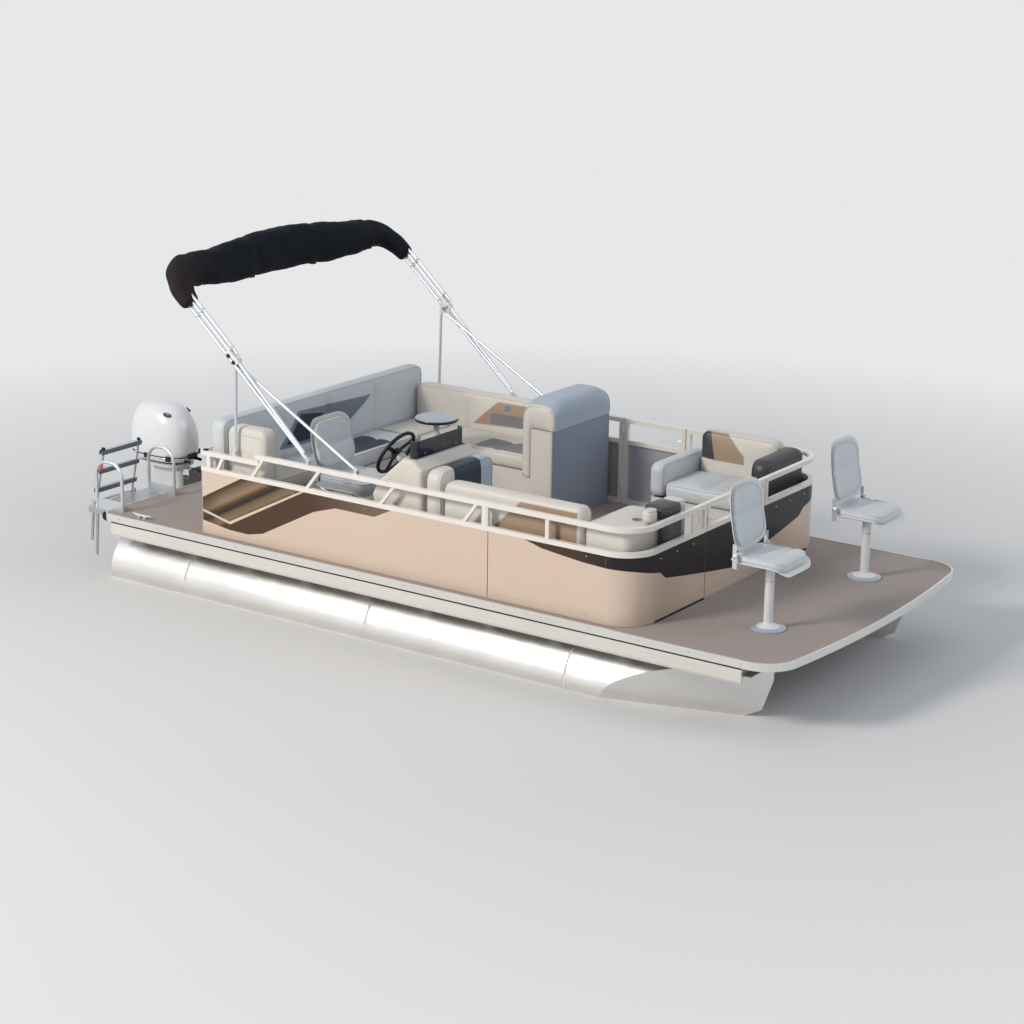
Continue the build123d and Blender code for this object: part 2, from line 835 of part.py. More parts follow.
# pedestals: x, y, height of the seat or top they carry
stands = [
    (chair_x, chair_y, chair_seat_low),
    (fishing_x, -fishing_y, fishing_seat_low),
    (fishing_x, fishing_y, fishing_seat_low),
    (table_x, table_y, table_height),
]
with BuildPart() as pedestals:
    for x, y, high in stands:
        add(pedestal(x, y, high))
save(pedestals.part, "pedestals")


seat_corner = 70
seat_edge = 25
collar_length = neck_length - 5


def chair_seat(x, y, low, width, depth, thick):
    """A seat on a swivel collar that drops over the post's neck."""
    with BuildPart() as seat:
        with BuildSketch(Plane.XY.offset(deck_top + low + swivel_gap)):
            with Locations((x, y)):
                Rectangle(depth, width)
        extrude(amount=thick)
        fillet(seat.edges().filter_by(Axis.Z), seat_corner)
        fillet(seat.faces().sort_by(Axis.Z)[-1].edges(), seat_edge)
        with BuildSketch(Plane.XY.offset(deck_top + low - collar_length)):
            with Locations((x, y)):
                Circle(post_dia / 2)
                Circle(neck_r + bore_clear, mode=Mode.SUBTRACT)
        extrude(amount=collar_length + 1)
    return seat.part


back_corner = 110
back_heel = 45
back_edge = 20
lug_thick = 30
lug_overlap = 25


def chair_back(x, y, low, high, width, thick, lean_out, seat_high):
    """A backrest leaning aft, round at its upper corners, on two lugs down to the seat."""
    rise = Vector(-lean_out, 0, high - low)
    up = rise.normalized()
    forward = (up.Z, 0, -up.X)
    with BuildPart() as back:
        with BuildSketch(Plane(origin=(x, y, deck_top + low), x_dir=(0, 1, 0), z_dir=forward)) as face:
            Rectangle(width, rise.length, align=(Align.CENTER, Align.MIN))
            fillet(face.vertices().group_by(Axis.Y)[-1], back_corner)
            fillet(face.vertices().group_by(Axis.Y)[0], back_heel)
        extrude(amount=thick)
        faces = back.faces().sort_by(Axis((0, 0, 0), forward))
        fillet(faces[0].edges() + faces[-1].edges(), back_edge)
        for lug in (-width / 3, width / 3):
            add(box_part(x + thick - lug_thick, x + thick, y + lug - lug_thick / 2, y + lug + lug_thick / 2,
                         deck_top + seat_high + seat_gap, deck_top + low + lug_overlap))
    return back.part


helm_wide = 470
helm_deep = 440
helm_thick = 100
helm_back_aft = 230
helm_back_gap = 8
helm_back_high = 860
helm_back_wide = 460
helm_back_thick = 85
helm_back_lean = 70
fishing_wide = 430
fishing_deep = 410
fishing_thick = 85
fishing_back_aft = 210
fishing_back_gap = 6
fishing_back_high = 930
fishing_back_wide = 420
fishing_back_thick = 70
fishing_back_lean = 60
helm_high = chair_seat_low + swivel_gap + helm_thick
fishing_high = fishing_seat_low + swivel_gap + fishing_thick
save(chair_seat(chair_x, chair_y, chair_seat_low, helm_wide, helm_deep, helm_thick), "helm_seat")
save(chair_back(chair_x - helm_back_aft, chair_y, helm_high + helm_back_gap, helm_back_high, helm_back_wide,
                helm_back_thick, helm_back_lean, helm_high), "helm_back")
for side, name in ((-1, "starboard"), (1, "port")):
    y = side * fishing_y
    save(chair_seat(fishing_x, y, fishing_seat_low, fishing_wide, fishing_deep, fishing_thick),
         f"fishing_seat_{name}")
    save(chair_back(fishing_x - fishing_back_aft, y, fishing_high + fishing_back_gap, fishing_back_high,
                    fishing_back_wide, fishing_back_thick, fishing_back_lean, fishing_high),
         f"fishing_back_{name}")


# boarding platform, its handrails and the folding ladder
ladder_reach = 22
ladder_rise = 8
ladder_x = platform_aft - ladder_reach
ladder_z = deck_top + ladder_rise
ladder_inset = (130, 150)
ladder_y = (platform_out + ladder_inset[0], platform_in - ladder_inset[1])
ladder_long = 420
ladder_steps = 3
ladder_pitch = 150
ladder_pin_r = 11
ladder_pin_over = 40
lug_half = 17
lug_plate = 6
lug_gap = 28
lug_nose = 6
platform_round = 40
gusset_aft = 30
gusset_edge = 25
gusset_thick = 10
gusset_half = 150
rail_inset = 50
rail_feet = (platform_aft + 65, 100)
leg_lengths = (215, 320)
leg_tube = 22
with BuildPart() as boarding_platform:
    add(box_part(platform_aft, -trim_out, platform_out, platform_in, deck_top - platform_thick, deck_top))
    fillet(boarding_platform.edges().filter_by(Axis.Z).group_by(Axis.X)[0], platform_round)
    under = deck_top - platform_thick
    gusset = [(-trim_out, under), (platform_aft + gusset_aft, under), (0, tube_top - gusset_half),
              (0, under - gusset_edge), (-trim_out, under - gusset_edge)]
    for y in (-tube_offset - gusset_half, -tube_offset + gusset_half):
        add(side_plate(gusset, y - gusset_thick / 2, y + gusset_thick / 2))
    for step, length in enumerate(leg_lengths):
        leg_x = platform_aft + rail_inset + step * 2 * leg_tube
        leg_y = platform_out + leg_tube
        add(round_tube([(leg_x, leg_y, under + platform_thick / 2),
                        (leg_x - leg_tube, leg_y, under - length)], 0, leg_tube))
    lug = [(platform_aft, under), (platform_aft, deck_top), (ladder_x + lug_nose, ladder_z + lug_half),
           (ladder_x - lug_half, ladder_z + lug_half), (ladder_x - lug_half, ladder_z - lug_half),
           (ladder_x + lug_nose, ladder_z - lug_half)]
    for y in (ladder_y[0] - lug_gap - lug_plate, ladder_y[1] + lug_gap):
        add(side_plate(lug, y, y + lug_plate))
    for y in (ladder_y[0] - ladder_pin_over, ladder_y[1] + ladder_pin_over / 2):
        with BuildSketch(Plane(origin=(ladder_x, y - ladder_pin_over / 4, ladder_z), z_dir=(0, 1, 0))):
            Circle(ladder_pin_r + pin_clear)
        extrude(amount=1.5 * ladder_pin_over, mode=Mode.SUBTRACT)
save(boarding_platform.part, "boarding_platform")

with BuildPart() as boarding_handrails:
    for y in (platform_out + rail_inset, platform_in - rail_inset):
        high = deck_top + handrail_height
        add(round_tube([(rail_feet[0], y, deck_top), (rail_feet[0], y, high), (rail_feet[1], y, high),
                        (rail_feet[1], y, deck_top)], handrail_round, hand_tube))
        add(box_part(*rail_feet, y - lug_plate / 2, y + lug_plate / 2, deck_top, deck_top + handrail_plate))
    add(box_part(-trim_out, 0, platform_out, platform_in, deck_top, deck_top + trim_up), mode=Mode.SUBTRACT)
save(boarding_handrails.part, "boarding_handrails")

ladder_up = Vector(sin(radians(ladder_lean)), 0, cos(radians(ladder_lean)))
tread_deep = 50
tread_thick = 22
tread_first = 30
stile_tail = 14
with BuildPart() as boarding_ladder:
    foot = Vector(ladder_x, 0, ladder_z)
    for y in ladder_y:
        low = foot + Vector(0, y, 0) - ladder_up * stile_tail
        add(round_tube([low, low + ladder_up * (ladder_long + stile_tail)], 0, stile_tube))
    for step in range(ladder_steps):
        middle = foot + ladder_up * (ladder_long - tread_first - step * ladder_pitch)
        with BuildSketch(Plane(origin=middle + Vector(0, ladder_y[0], 0), x_dir=ladder_up, z_dir=(0, 1, 0))):
            SlotOverall(tread_deep, tread_thick)
        extrude(amount=ladder_y[1] - ladder_y[0])
    with BuildSketch(Plane(origin=(ladder_x, ladder_y[0] - ladder_pin_over, ladder_z), z_dir=(0, 1, 0))):
        Circle(ladder_pin_r)
    extrude(amount=ladder_y[1] - ladder_y[0] + 2 * ladder_pin_over)
save(boarding_ladder.part, "boarding_ladder")

# folding top: in the bow's own plane s runs up along the leaning tube
bow_up = Vector(-sin(radians(bow_lean)), 0, cos(radians(bow_lean)))
bow_out = Vector(cos(radians(bow_lean)), 0, sin(radians(bow_lean)))
main_start = Vector(main_foot[0], 0, deck_top + main_foot[1])


def on_bow(s, y=0, off=0):
    """A point s along the leaning bow, off in front of it."""
    return main_start + bow_up * s + bow_out * off + Vector(0, y, 0)


def arch_points(first, off=0):
    """The corners of a bow's line, from one side of the boat over to the other."""
    return [on_bow(first, -bow_y, off), on_bow(arch_shoulder, -bow_y, off), on_bow(arch_crown, 0, off),
            on_bow(arch_shoulder, bow_y, off), on_bow(first, bow_y, off)]


def front_bow():
    """The front bow, which closes in on the main one from the brace's joint down to the foot."""
    joint = brace_joint + bow_pair_start
    points = arch_points(joint, bow_pair)
    feet = [on_bow(bow_pair_start, y, bow_pair_low) for y in (-bow_y, bow_y)]
    bends = [crown_round, arch_corner, crown_round, arch_corner, crown_round]
    return round_tube([feet[0], *points, feet[1]], bends, bow_tube)


def eye(centre, y, aim):
    """A flattened tube end with its hole around an axis along Y, its tongue running towards aim."""
    flat = Plane(origin=(centre[0], y + eye_thick / 2, centre[1]), x_dir=aim, z_dir=(0, -1, 0))
    with BuildPart() as ring:
        with BuildSketch(flat):
            Circle(eye_r)
            Rectangle(eye_reach + 4, 2 * eye_r, align=(Align.MIN, Align.CENTER))
            Circle(pin_r + pin_clear, mode=Mode.SUBTRACT)
        extrude(amount=eye_thick)
    return ring.part


def disc(centre, y, radius):
    """A round plug across an eye, to clear its seat or bore."""
    with BuildPart() as plug:
        with BuildSketch(Plane(origin=(centre[0], y - eye_thick, centre[1]), z_dir=(0, 1, 0))):
            Circle(radius)
        extrude(amount=2 * eye_thick)
    return plug.part


main_eye = (main_foot[0], deck_top + main_foot[1])
sleeve_below = 40
sleeve_long = 150
sleeve_thick = 3
link_thick = 5
# corners of the plate that ties the two bows: along the bow from the brace's joint, and out from it
link_corners = [(-30, -15), (110, -15), (110, bow_pair + 15), (40, bow_pair + 15)]
with BuildPart() as top_bows:
    add(round_tube(arch_points(0), [arch_corner, crown_round, arch_corner], bow_tube))
    add(front_bow())
    for side in (-1, 1):
        y = side * bow_y
        with BuildSketch(Plane(origin=on_bow(brace_joint - sleeve_below, y), z_dir=bow_up)):
            Circle(bow_tube / 2 + sleeve_thick)
        extrude(amount=sleeve_long)
        link_y = sorted((side * (bow_y - bow_tube / 2 - link_thick), side * (bow_y - bow_tube / 2 + 1)))
        corners = [on_bow(brace_joint + rise, 0, off) for rise, off in link_corners]
        add(side_plate([(corner.X, corner.Z) for corner in corners], *link_y))
        add(disc(main_eye, y, eye_reach), mode=Mode.SUBTRACT)
        add(eye(main_eye, y, bow_up))
save(top_bows.part, "top_bows")

# the boot's sections: share of its length, depth, thickness, turn towards hanging upright, sag
boot_half = [
    (0.00, 150, 130, 0, 0),
    (0.09, 155, 140, 0, 0),
    (0.13, 168, 150, 6, 4),
    (0.17, 195, 160, 14, 10),
    (0.22, 240, 168, 22, 16),
    (0.33, 300, 182, 34, 22),
    (0.50, 320, 190, 40, 26),
]
boot_sections = boot_half + [(1 - row[0], *row[1:]) for row in boot_half[-2::-1]]
with BuildPart() as top_boot:
    with BuildLine(mode=Mode.PRIVATE) as boot_route:
        FilletPolyline(*arch_points(boot_start, bow_pair / 2), radius=[arch_corner, crown_round, arch_corner])
    for share, depth, thick, turn, sag in boot_sections:
        across = Plane(origin=boot_route.line @ share, x_dir=bow_out, z_dir=boot_route.line % share)
        hang = (-sag * sin(radians(turn)), sag * cos(radians(turn)))
        with BuildSketch(across):
            with Locations(hang):
                SlotOverall(depth, thick, rotation=90 + turn)
    loft(ruled=True)
    add(top_bows.part, mode=Mode.SUBTRACT)
save(top_boot.part, "top_boot")


def strut_end(s):
    point = on_bow(s)
    return (point.X, point.Z)


def strut_pair(foot, s, name):
    """A pair of struts from their eyes on the rail up to the bow, ends free of it."""
    low = (foot[0], deck_top + foot[1])
    high = strut_end(s)
    with BuildPart() as pair:
        for y in (-brace_y, brace_y):
            add(round_tube([(low[0], y, low[1]), (high[0], y, high[1])], 0, strut_tube))
            add(disc(low, y, eye_reach), mode=Mode.SUBTRACT)
            add(eye(low, y, (high[0] - low[0], 0, high[1] - low[1])))
    save(pair.part, name)


strut_pair(rear_foot, strut_joint, "top_rear_struts")
strut_pair(front_foot, brace_joint, "top_front_braces")

ear_gap = 1
ear_thick = 5
ear_low = eye_r + 12
ear_high = eye_r - 4
ear_foot = 8
with BuildPart() as top_feet:
    for side in (-1, 1):
        for (x, z), y, rail_top in ((main_foot, bow_y, top_rail), (rear_foot, brace_y, aft_rail),
                                    (front_foot, brace_y, top_rail)):
            outer = eye_thick / 2 + ear_gap
            base_high = deck_top + rail_top + rail / 2 + seat_gap
            for hand in (-1, 1):
                ear_y = sorted((side * y + hand * outer, side * y + hand * (outer + ear_thick)))
                if y == brace_y and hand * side > 0:
                    ear_y = sorted((side * y + hand * outer, side * (inner_half - seat_gap)))
                add(box_part(x - eye_r, x + eye_r, *ear_y, deck_top + z - ear_low, deck_top + z + ear_high))
            with BuildSketch(Plane(origin=(x, side * y - outer - ear_thick, deck_top + z), z_dir=(0, 1, 0))):
                Circle(pin_r)
            extrude(amount=2 * (outer + ear_thick))
            floor_y = sorted((side * (y - outer - ear_thick), side * (y + outer + ear_thick)))
            if y == brace_y:
                floor_y = sorted((side * (y - outer - ear_thick), side * (inner_half - seat_gap)))
            floor_low = deck_top + z - ear_low - ear_foot if y == brace_y else base_high
            add(box_part(x - eye_r, x + eye_r, *floor_y, floor_low, deck_top + z - ear_low + 1))
save(top_feet.part, "top_feet")


# outboard motor: pod and clamp on the hull, swivel bracket that tilts, motor that steers
transom_low = transom_top - transom_height
pod_front = 900
pod_slope = 260
pod_rise = 40
pod_chine = 60
with BuildPart() as motor_pod:
    with BuildSketch(Plane.XZ.offset(-pod_width / 2)):
        with BuildLine():
            Polyline((transom_x, transom_top), (-trim_out - 2, transom_top), (-trim_out - 2, cross_under),
                     (pod_front, cross_under), (pod_front - pod_slope, transom_low + pod_rise),
                     (transom_x, transom_low), close=True)
        make_face()
    extrude(amount=pod_width)
    bottom = motor_pod.faces().filter_by(Axis.Y, reverse=True).sort_by(Axis.Z)[0]
    chamfer(bottom.edges().filter_by(Axis.Y, reverse=True), pod_chine)
save(motor_pod.part, "motor_pod")

clamp_y = 105
clamp_thick = 16
clamp_low = 190
clamp_hook = 70
clamp_cheek = 30
clamp_outline = [(transom_x, clamp_low), (transom_x, transom_top), (transom_x + clamp_hook, transom_top),
                 (transom_x + clamp_hook, transom_top + 40), (tilt_x + 20, tilt_z + 24),
                 (tilt_x - clamp_cheek, tilt_z + 18), (tilt_x - clamp_cheek, tilt_z - clamp_cheek),
                 (transom_x - clamp_cheek, clamp_low + 10)]
with BuildPart() as motor_clamp:
    for side in (-1, 1):
        y0, y1 = sorted((side * clamp_y, side * (clamp_y + clamp_thick)))
        add(side_plate(clamp_outline, y0, y1))
    with BuildSketch(Plane(origin=(tilt_x, -clamp_y - clamp_thick, tilt_z), z_dir=(0, 1, 0))):
        Circle(tilt_pin_r)
    extrude(amount=2 * (clamp_y + clamp_thick))
save(motor_clamp.part, "motor_clamp")

swivel_low = 170
swivel_high = 440
swivel_r = 46
swivel_cheek = 26
swivel_clear = 6
swivel_outline = [(tilt_x - swivel_cheek, tilt_z + swivel_cheek),
                  (tilt_x + swivel_cheek, tilt_z + swivel_cheek), (tilt_x + swivel_cheek, tilt_z - 30), (steer_x + swivel_r, swivel_low + 60),
                  (steer_x, swivel_low + 40), (steer_x, swivel_high), (tilt_x - 32, swivel_high)]
with BuildPart() as swivel_bracket:
    with BuildSketch(Plane.XY.offset(swivel_low)):
        with Locations((steer_x, 0)):
            Circle(swivel_r)
    extrude(amount=swivel_high - swivel_low)
    add(side_plate(swivel_outline, -clamp_y + swivel_clear, clamp_y - swivel_clear))
    with BuildSketch(Plane(origin=(tilt_x, -clamp_y, tilt_z), z_dir=(0, 1, 0))):
        Circle(tilt_pin_r + bore_clear)
    extrude(amount=2 * clamp_y, mode=Mode.SUBTRACT)
    with BuildSketch(Plane.XY.offset(swivel_low)):
        with Locations((steer_x, 0)):
            Circle(steer_pin_r + bore_clear)
    extrude(amount=far, mode=Mode.SUBTRACT)
save(swivel_bracket.part, "swivel_bracket")

leg_top = 530
tray_thick = 22
plate_thick = 14
plate_gap = 12
plate_low = prop_z + prop_dia / 2 + plate_gap
plate_x = -520
plate_long = 400
plate_wide = 190
# cowl sections from the tray up: height, aft end, fore end, width
cowl_sections = [
    (leg_top, -800, -345, 300),
    (600, -850, -305, 350),
    (710, -866, -298, 372),
    (830, -856, -318, 360),
    (905, -826, -362, 318),
    (955, -780, -420, 250),
    (980, -730, -480, 170),
]
cowl_wall = 10
cowl_round = 0.46
cowl_crown = 22
cowl_crown_inside = 14
# leg sections from top to bottom: height, aft end, fore end, width
leg_sections = [
    (leg_top, -700, -360, 190),
    (380, -640, -362, 150),
    (60, -600, -362, 120),
    (plate_low, -600, -370, 110),
]
shaft_sections = [(plate_low, -590, -380, 90), (prop_z, -570, -400, 40)]
# gear case: aft end, then its outline along the shaft as x and radius, its nose an arc
case_aft = -640
case_outline = [(-640, 50), (-560, 58), (-430, 52)]
case_nose = [(-375, 36), (-348, 8)]
# fin under the gear case, side view: x and depth under the shaft
fin_outline = [(-600, 30), (-430, 30), (-520, 190), (-600, 200)]
fin_thick = 14
yoke_r = 44
yoke_aft = -420
yoke_wide = 80
yokes = [(swivel_low - 55, swivel_low - 5), (swivel_high + 5, swivel_high + 50)]
pin_tail = 50
pin_head = 40
shaft_aft = -740
shaft_long = 120
with BuildPart() as motor_leg:
    for run in (leg_sections, shaft_sections):
        for z, aft, fore, wide in run:
            with BuildSketch(Plane.XY.offset(z)):
                with Locations(((aft + fore) / 2, 0)):
                    RectangleRounded(fore - aft, wide, wide * cowl_round)
        loft(ruled=True)
    with BuildSketch(Plane.XY.offset(plate_low)):
        with Locations((plate_x, 0)):
            SlotOverall(plate_long, plate_wide)
    extrude(amount=plate_thick)
    with BuildSketch(Plane.XY.offset(leg_top - tray_thick)):
        _, aft, fore, wide = cowl_sections[0]
        with Locations(((aft + fore) / 2, 0)):
            RectangleRounded(fore - aft, wide, wide * cowl_round)
    extrude(amount=tray_thick)
    with BuildSketch(Plane.XZ) as bullet:
        with BuildLine():
            along = [(x, prop_z + radius) for x, radius in case_outline]
            nose = [(x, prop_z + radius) for x, radius in case_nose]
            Polyline((case_aft, prop_z), *along)
            ThreePointArc(along[-1], *nose)
            Polyline(nose[-1], (nose[-1][0], prop_z), (case_aft, prop_z))
        make_face()
    revolve(axis=Axis((case_aft, 0, prop_z), (1, 0, 0)))
    add(side_plate([(x, prop_z - depth) for x, depth in fin_outline], -fin_thick / 2, fin_thick / 2))
    for low, high in yokes:
        with BuildSketch(Plane.XY.offset(low)):
            with Locations((steer_x, 0)):
                Circle(yoke_r)
            with Locations(((steer_x + yoke_aft) / 2, 0)):
                Rectangle(steer_x - yoke_aft, yoke_wide)
        extrude(amount=high - low)
    with BuildSketch(Plane.XY.offset(swivel_low - pin_tail)):
        with Locations((steer_x, 0)):
            Circle(steer_pin_r)
    extrude(amount=swivel_high + pin_head + pin_tail - swivel_low)
    with BuildSketch(Plane.YZ.offset(shaft_aft)):
        with Locations((0, prop_z)):
            Circle(prop_shaft_r)
    extrude(amount=shaft_long)
save(motor_leg.part, "motor_leg")


def cowl_body(skin, round_top):
    """The cowl's outer form, or the space inside it, skin smaller all round."""
    with BuildPart() as body:
        for z, aft, fore, wide in cowl_sections:
            high = z - skin if z == cowl_sections[-1][0] else z
            with BuildSketch(Plane.XY.offset(high)):
                with Locations(((aft + fore) / 2, 0)):
                    RectangleRounded(fore - aft - 2 * skin, wide - 2 * skin, wide * cowl_round - skin)
        loft(ruled=True)
        fillet(body.faces().sort_by(Axis.Z)[-1].edges(), round_top)
    return body.part


with BuildPart() as motor_cowl:
    add(cowl_body(0, cowl_crown))
    add(cowl_body(cowl_wall, cowl_crown_inside), mode=Mode.SUBTRACT)
save(motor_cowl.part, "motor_cowl")

engine_aft = -740
engine_front = -430
engine_half = 100
engine_top = 850
engine_round = 30
with BuildPart() as powerhead:
    add(box_part(engine_aft, engine_front, -engine_half, engine_half, leg_top + seat_gap, engine_top))
    fillet(powerhead.edges().filter_by(Axis.Z), engine_round)
save(powerhead.part, "powerhead")

hub_r = 46
hub_aft = -735
hub_long = 90
blade_x = -690
# blade sections: how far out, twist, length and thickness
blade_sections = [(hub_r - 8, 32, 62, 14), (110, 52, 120, 9), (prop_dia / 2, 62, 60, 5)]
with BuildPart() as propeller:
    with BuildSketch(Plane.YZ.offset(hub_aft)):
        with Locations((0, prop_z)):
            Circle(hub_r)
            Circle(prop_shaft_r + bore_clear, mode=Mode.SUBTRACT)
    extrude(amount=hub_long)
    for turn in range(prop_blades):
        angle = 360 / prop_blades * turn
        outward = (0, cos(radians(angle)), sin(radians(angle)))
        blade_plane = Plane(origin=(blade_x, 0, prop_z), x_dir=(1, 0, 0), z_dir=outward)
        for reach, twist, long, thick in blade_sections:
            with BuildSketch(blade_plane.offset(reach)):
                with Locations(Rotation(0, 0, twist)):
                    Rectangle(long, thick)
        loft(ruled=True)
save(propeller.part, "propeller")
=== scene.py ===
import bpy
import bmesh
from functools import reduce
from itertools import product
from math import cos, hypot, pi, radians, sin
from operator import and_, or_
from mathutils import Matrix, Vector


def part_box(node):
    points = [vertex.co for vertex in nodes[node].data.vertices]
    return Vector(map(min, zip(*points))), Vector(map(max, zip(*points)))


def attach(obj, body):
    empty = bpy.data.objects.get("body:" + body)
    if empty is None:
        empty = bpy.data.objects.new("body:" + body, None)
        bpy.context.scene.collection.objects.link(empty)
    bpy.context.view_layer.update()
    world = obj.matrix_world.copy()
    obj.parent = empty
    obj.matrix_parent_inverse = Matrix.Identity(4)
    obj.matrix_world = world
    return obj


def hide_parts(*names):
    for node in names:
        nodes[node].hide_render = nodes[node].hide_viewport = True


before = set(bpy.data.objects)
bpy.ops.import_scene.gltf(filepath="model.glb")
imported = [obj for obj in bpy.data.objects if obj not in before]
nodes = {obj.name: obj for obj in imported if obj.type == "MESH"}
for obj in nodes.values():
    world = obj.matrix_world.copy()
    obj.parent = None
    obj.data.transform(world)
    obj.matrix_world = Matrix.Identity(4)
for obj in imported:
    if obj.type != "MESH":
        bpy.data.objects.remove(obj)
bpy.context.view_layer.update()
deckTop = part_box("deck")[1].z
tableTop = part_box("table_top")[1].z
print("frame loaded:", len(nodes), "nodes")


# The stage: camera at the photograph's angle, pale floor on the water plane, soft studio light

stage = {
    "cameraAt": (11.991, -13.586, 5.422),
    "lookAlong": (-0.543, 0.7926, -0.2771),
    "upAlong": (-0.1694, 0.2199, 0.9607),
    "lens": 85.9,                            # millimetres on a 36 mm sensor
    "clipEnd": 400,
    "floorSize": 160.0,
    "floorColour": (0.72, 0.72, 0.72, 1),
    "paleColour": (0.80, 0.805, 0.81, 1),    # what the camera and reflections see beyond the shadow
    "skyColour": (0.90, 0.94, 1.0, 1), "skyStrength": 0.50,
    "aim": (2.6, 0.0, 0.8),
    "shadowReach": 6.2, "shadowFade": 5.0,
}
lights = {                                   # place, size, power, colour
    "keyLight": ((-3.5, -15.0, 10.5), 4.5, 2250, (1.0, 0.945, 0.87)),
    "fillLight": ((16.0, 5.0, 9.0), 9.0, 420, (0.86, 0.93, 1.0)),
}


def newObject(name, data):
    made = bpy.data.objects.new(name, data)
    bpy.context.scene.collection.objects.link(made)
    return made


def addLight(name, place, size, power, colour):
    data = bpy.data.lights.new(name, 'AREA')
    data.shape, data.size, data.energy, data.color = 'DISK', size, power, colour
    light = newObject(name, data)
    light.location = place
    light.rotation_mode = 'QUATERNION'
    light.rotation_quaternion = (Vector(stage["aim"]) - Vector(place)).to_track_quat('-Z', 'Y')


def makeCamera():
    data = bpy.data.cameras.new("camera")
    data.lens, data.clip_end = stage["lens"], stage["clipEnd"]
    camera = newObject("camera", data)
    back = -Vector(stage["lookAlong"]).normalized()
    right = Vector(stage["upAlong"]).cross(back).normalized()
    turn = Matrix((right, back.cross(right), back)).transposed().to_4x4()
    camera.matrix_world = Matrix.Translation(stage["cameraAt"]) @ turn
    bpy.context.scene.camera = camera


bpy.context.scene.view_settings.view_transform = 'Standard'
makeCamera()
for name, settings in lights.items():
    addLight(name, *settings)
print("camera and lights placed")


# Shader maths: a socket that works in sums, and the node tree of one finish

def sums(operation, turned=False):
    def work(wire, other):
        pair = (other, wire) if turned else (wire, other)
        return wire.finish.node('Math', {"operation": operation}, dict(enumerate(pair)))
    return work


class Wire:
    def __init__(self, finish, socket):
        self.finish, self.socket = finish, socket

    __add__ = __radd__ = sums('ADD')
    __mul__ = __rmul__ = sums('MULTIPLY')
    __sub__, __rsub__ = sums('SUBTRACT'), sums('SUBTRACT', True)
    __truediv__ = sums('DIVIDE')
    __mod__ = sums('FLOORED_MODULO')
    __and__ = sums('MINIMUM')                # both masks, or the nearer of two distances
    __or__ = sums('MAXIMUM')                 # either mask

    def __abs__(self):
        return sums('ABSOLUTE')(self, 0)


class Finish:
    def __init__(self, name, owner=None):
        self.material = owner or bpy.data.materials.new(name)
        self.material.use_nodes = True
        self.tree = self.material.node_tree
        self.tree.nodes.clear()
        self.place = self.node('TexCoord', {}, {}, "Object")
        axes = self.node('SeparateXYZ', {}, {0: self.place}, None)
        self.x, self.y, self.z = (Wire(self, axes.outputs[i]) for i in range(3))

    def node(self, kind, settings, inputs, out=0):
        made = self.tree.nodes.new('ShaderNode' + kind)
        for key, value in settings.items():
            if key == "stops":
                while len(made.color_ramp.elements) < len(value):
                    made.color_ramp.elements.new(0.5)
                for stop, (position, shade) in zip(made.color_ramp.elements, value):
                    stop.position, stop.color = position, shade
            else:
                setattr(made, key, value)
        for key, value in inputs.items():
            if isinstance(value, Wire):
                self.tree.links.new(value.socket, made.inputs[key])
            else:
                made.inputs[key].default_value = value
        return made if out is None else Wire(self, made.outputs[out])

    def texture(self, kind, scale, stretch=(1, 1, 1), settings=(), **inputs):
        spread = self.node('Mapping', {}, {"Vector": self.place, "Scale": stretch})
        return self.node('Tex' + kind, dict(settings), {"Vector": spread, "Scale": scale, **inputs})

    def noise(self, scale, detail=3.0, stretch=(1, 1, 1), rough=0.5):
        return self.texture('Noise', scale, stretch, Detail=detail, Roughness=rough)

    def bands(self, direction, scale, stretch):
        return self.texture('Wave', scale, stretch, {"wave_type": 'BANDS', "bands_direction": direction})

    def rays(self):                          # 1 for what the camera, gloss and glass see
        path = self.node('LightPath', {}, {}, None)
        camera, glossy, clear = (Wire(self, path.outputs["Is " + kind + " Ray"]) for kind in
                                 ("Camera", "Glossy", "Transmission"))
        return camera | (glossy | clear)

    def step(self, value, width=0.002):      # 0 to 1 where value passes through 0
        return self.node('Math', {"operation": 'MULTIPLY_ADD', "use_clamp": True},
                         {0: value, 1: 1 / width, 2: 0.5})

    def mix(self, factor, first, second):
        return self.node('Mix', {"data_type": 'RGBA'}, {0: factor, 6: first, 7: second}, 2)

    def vary(self, cloud, colour, low, high):
        return self.mix(cloud, tone(colour, low), tone(colour, high))

    def inside(self, across, up, corners):   # distance into a convex outline, its corners anticlockwise
        reaches = []
        for (u0, v0), (u1, v1) in zip(corners, corners[1:] + corners[:1]):
            run = hypot(u1 - u0, v1 - v0)
            nu, nv = -(v1 - v0) / run, (u1 - u0) / run
            reaches.append(across * nu + (up * nv - (u0 * nu + v0 * nv)))
        return reduce(and_, reaches)

    def bump(self, height, strength, distance, under=None):
        inputs = {"Height": height, "Strength": strength, "Distance": distance}
        if under is not None:
            inputs["Normal"] = under
        return self.node('Bump', {}, inputs)

    def surface(self, **inputs):
        shader = self.node('BsdfPrincipled', {}, {key.replace("_", " "): value for key, value in inputs.items()})
        self.node('OutputMaterial', {}, {"Surface": shader}, None)
        return self.material


def tone(colour, factor):
    return tuple(min(1.0, channel * factor) for channel in colour[:3]) + (1,)


def metalFinish(name, colour, rough, grain=(1, 1, 1), metallic=1.0, dents=0.0):
    f = Finish(name)
    streak = f.noise(60, 4, grain)
    cloud = f.noise(2.2, 3)
    shade = f.vary(streak * 0.5 + cloud * 0.5, colour, 0.88, 1.08)
    normal = f.bump(f.noise(9, 2), dents, 0.004) if dents else f.bump(streak, 0.12, 0.0006)
    return f.surface(Base_Color=shade, Metallic=metallic, Normal=normal,
                     Roughness=streak * 0.14 + (cloud * 0.10 + (rough - 0.12)))


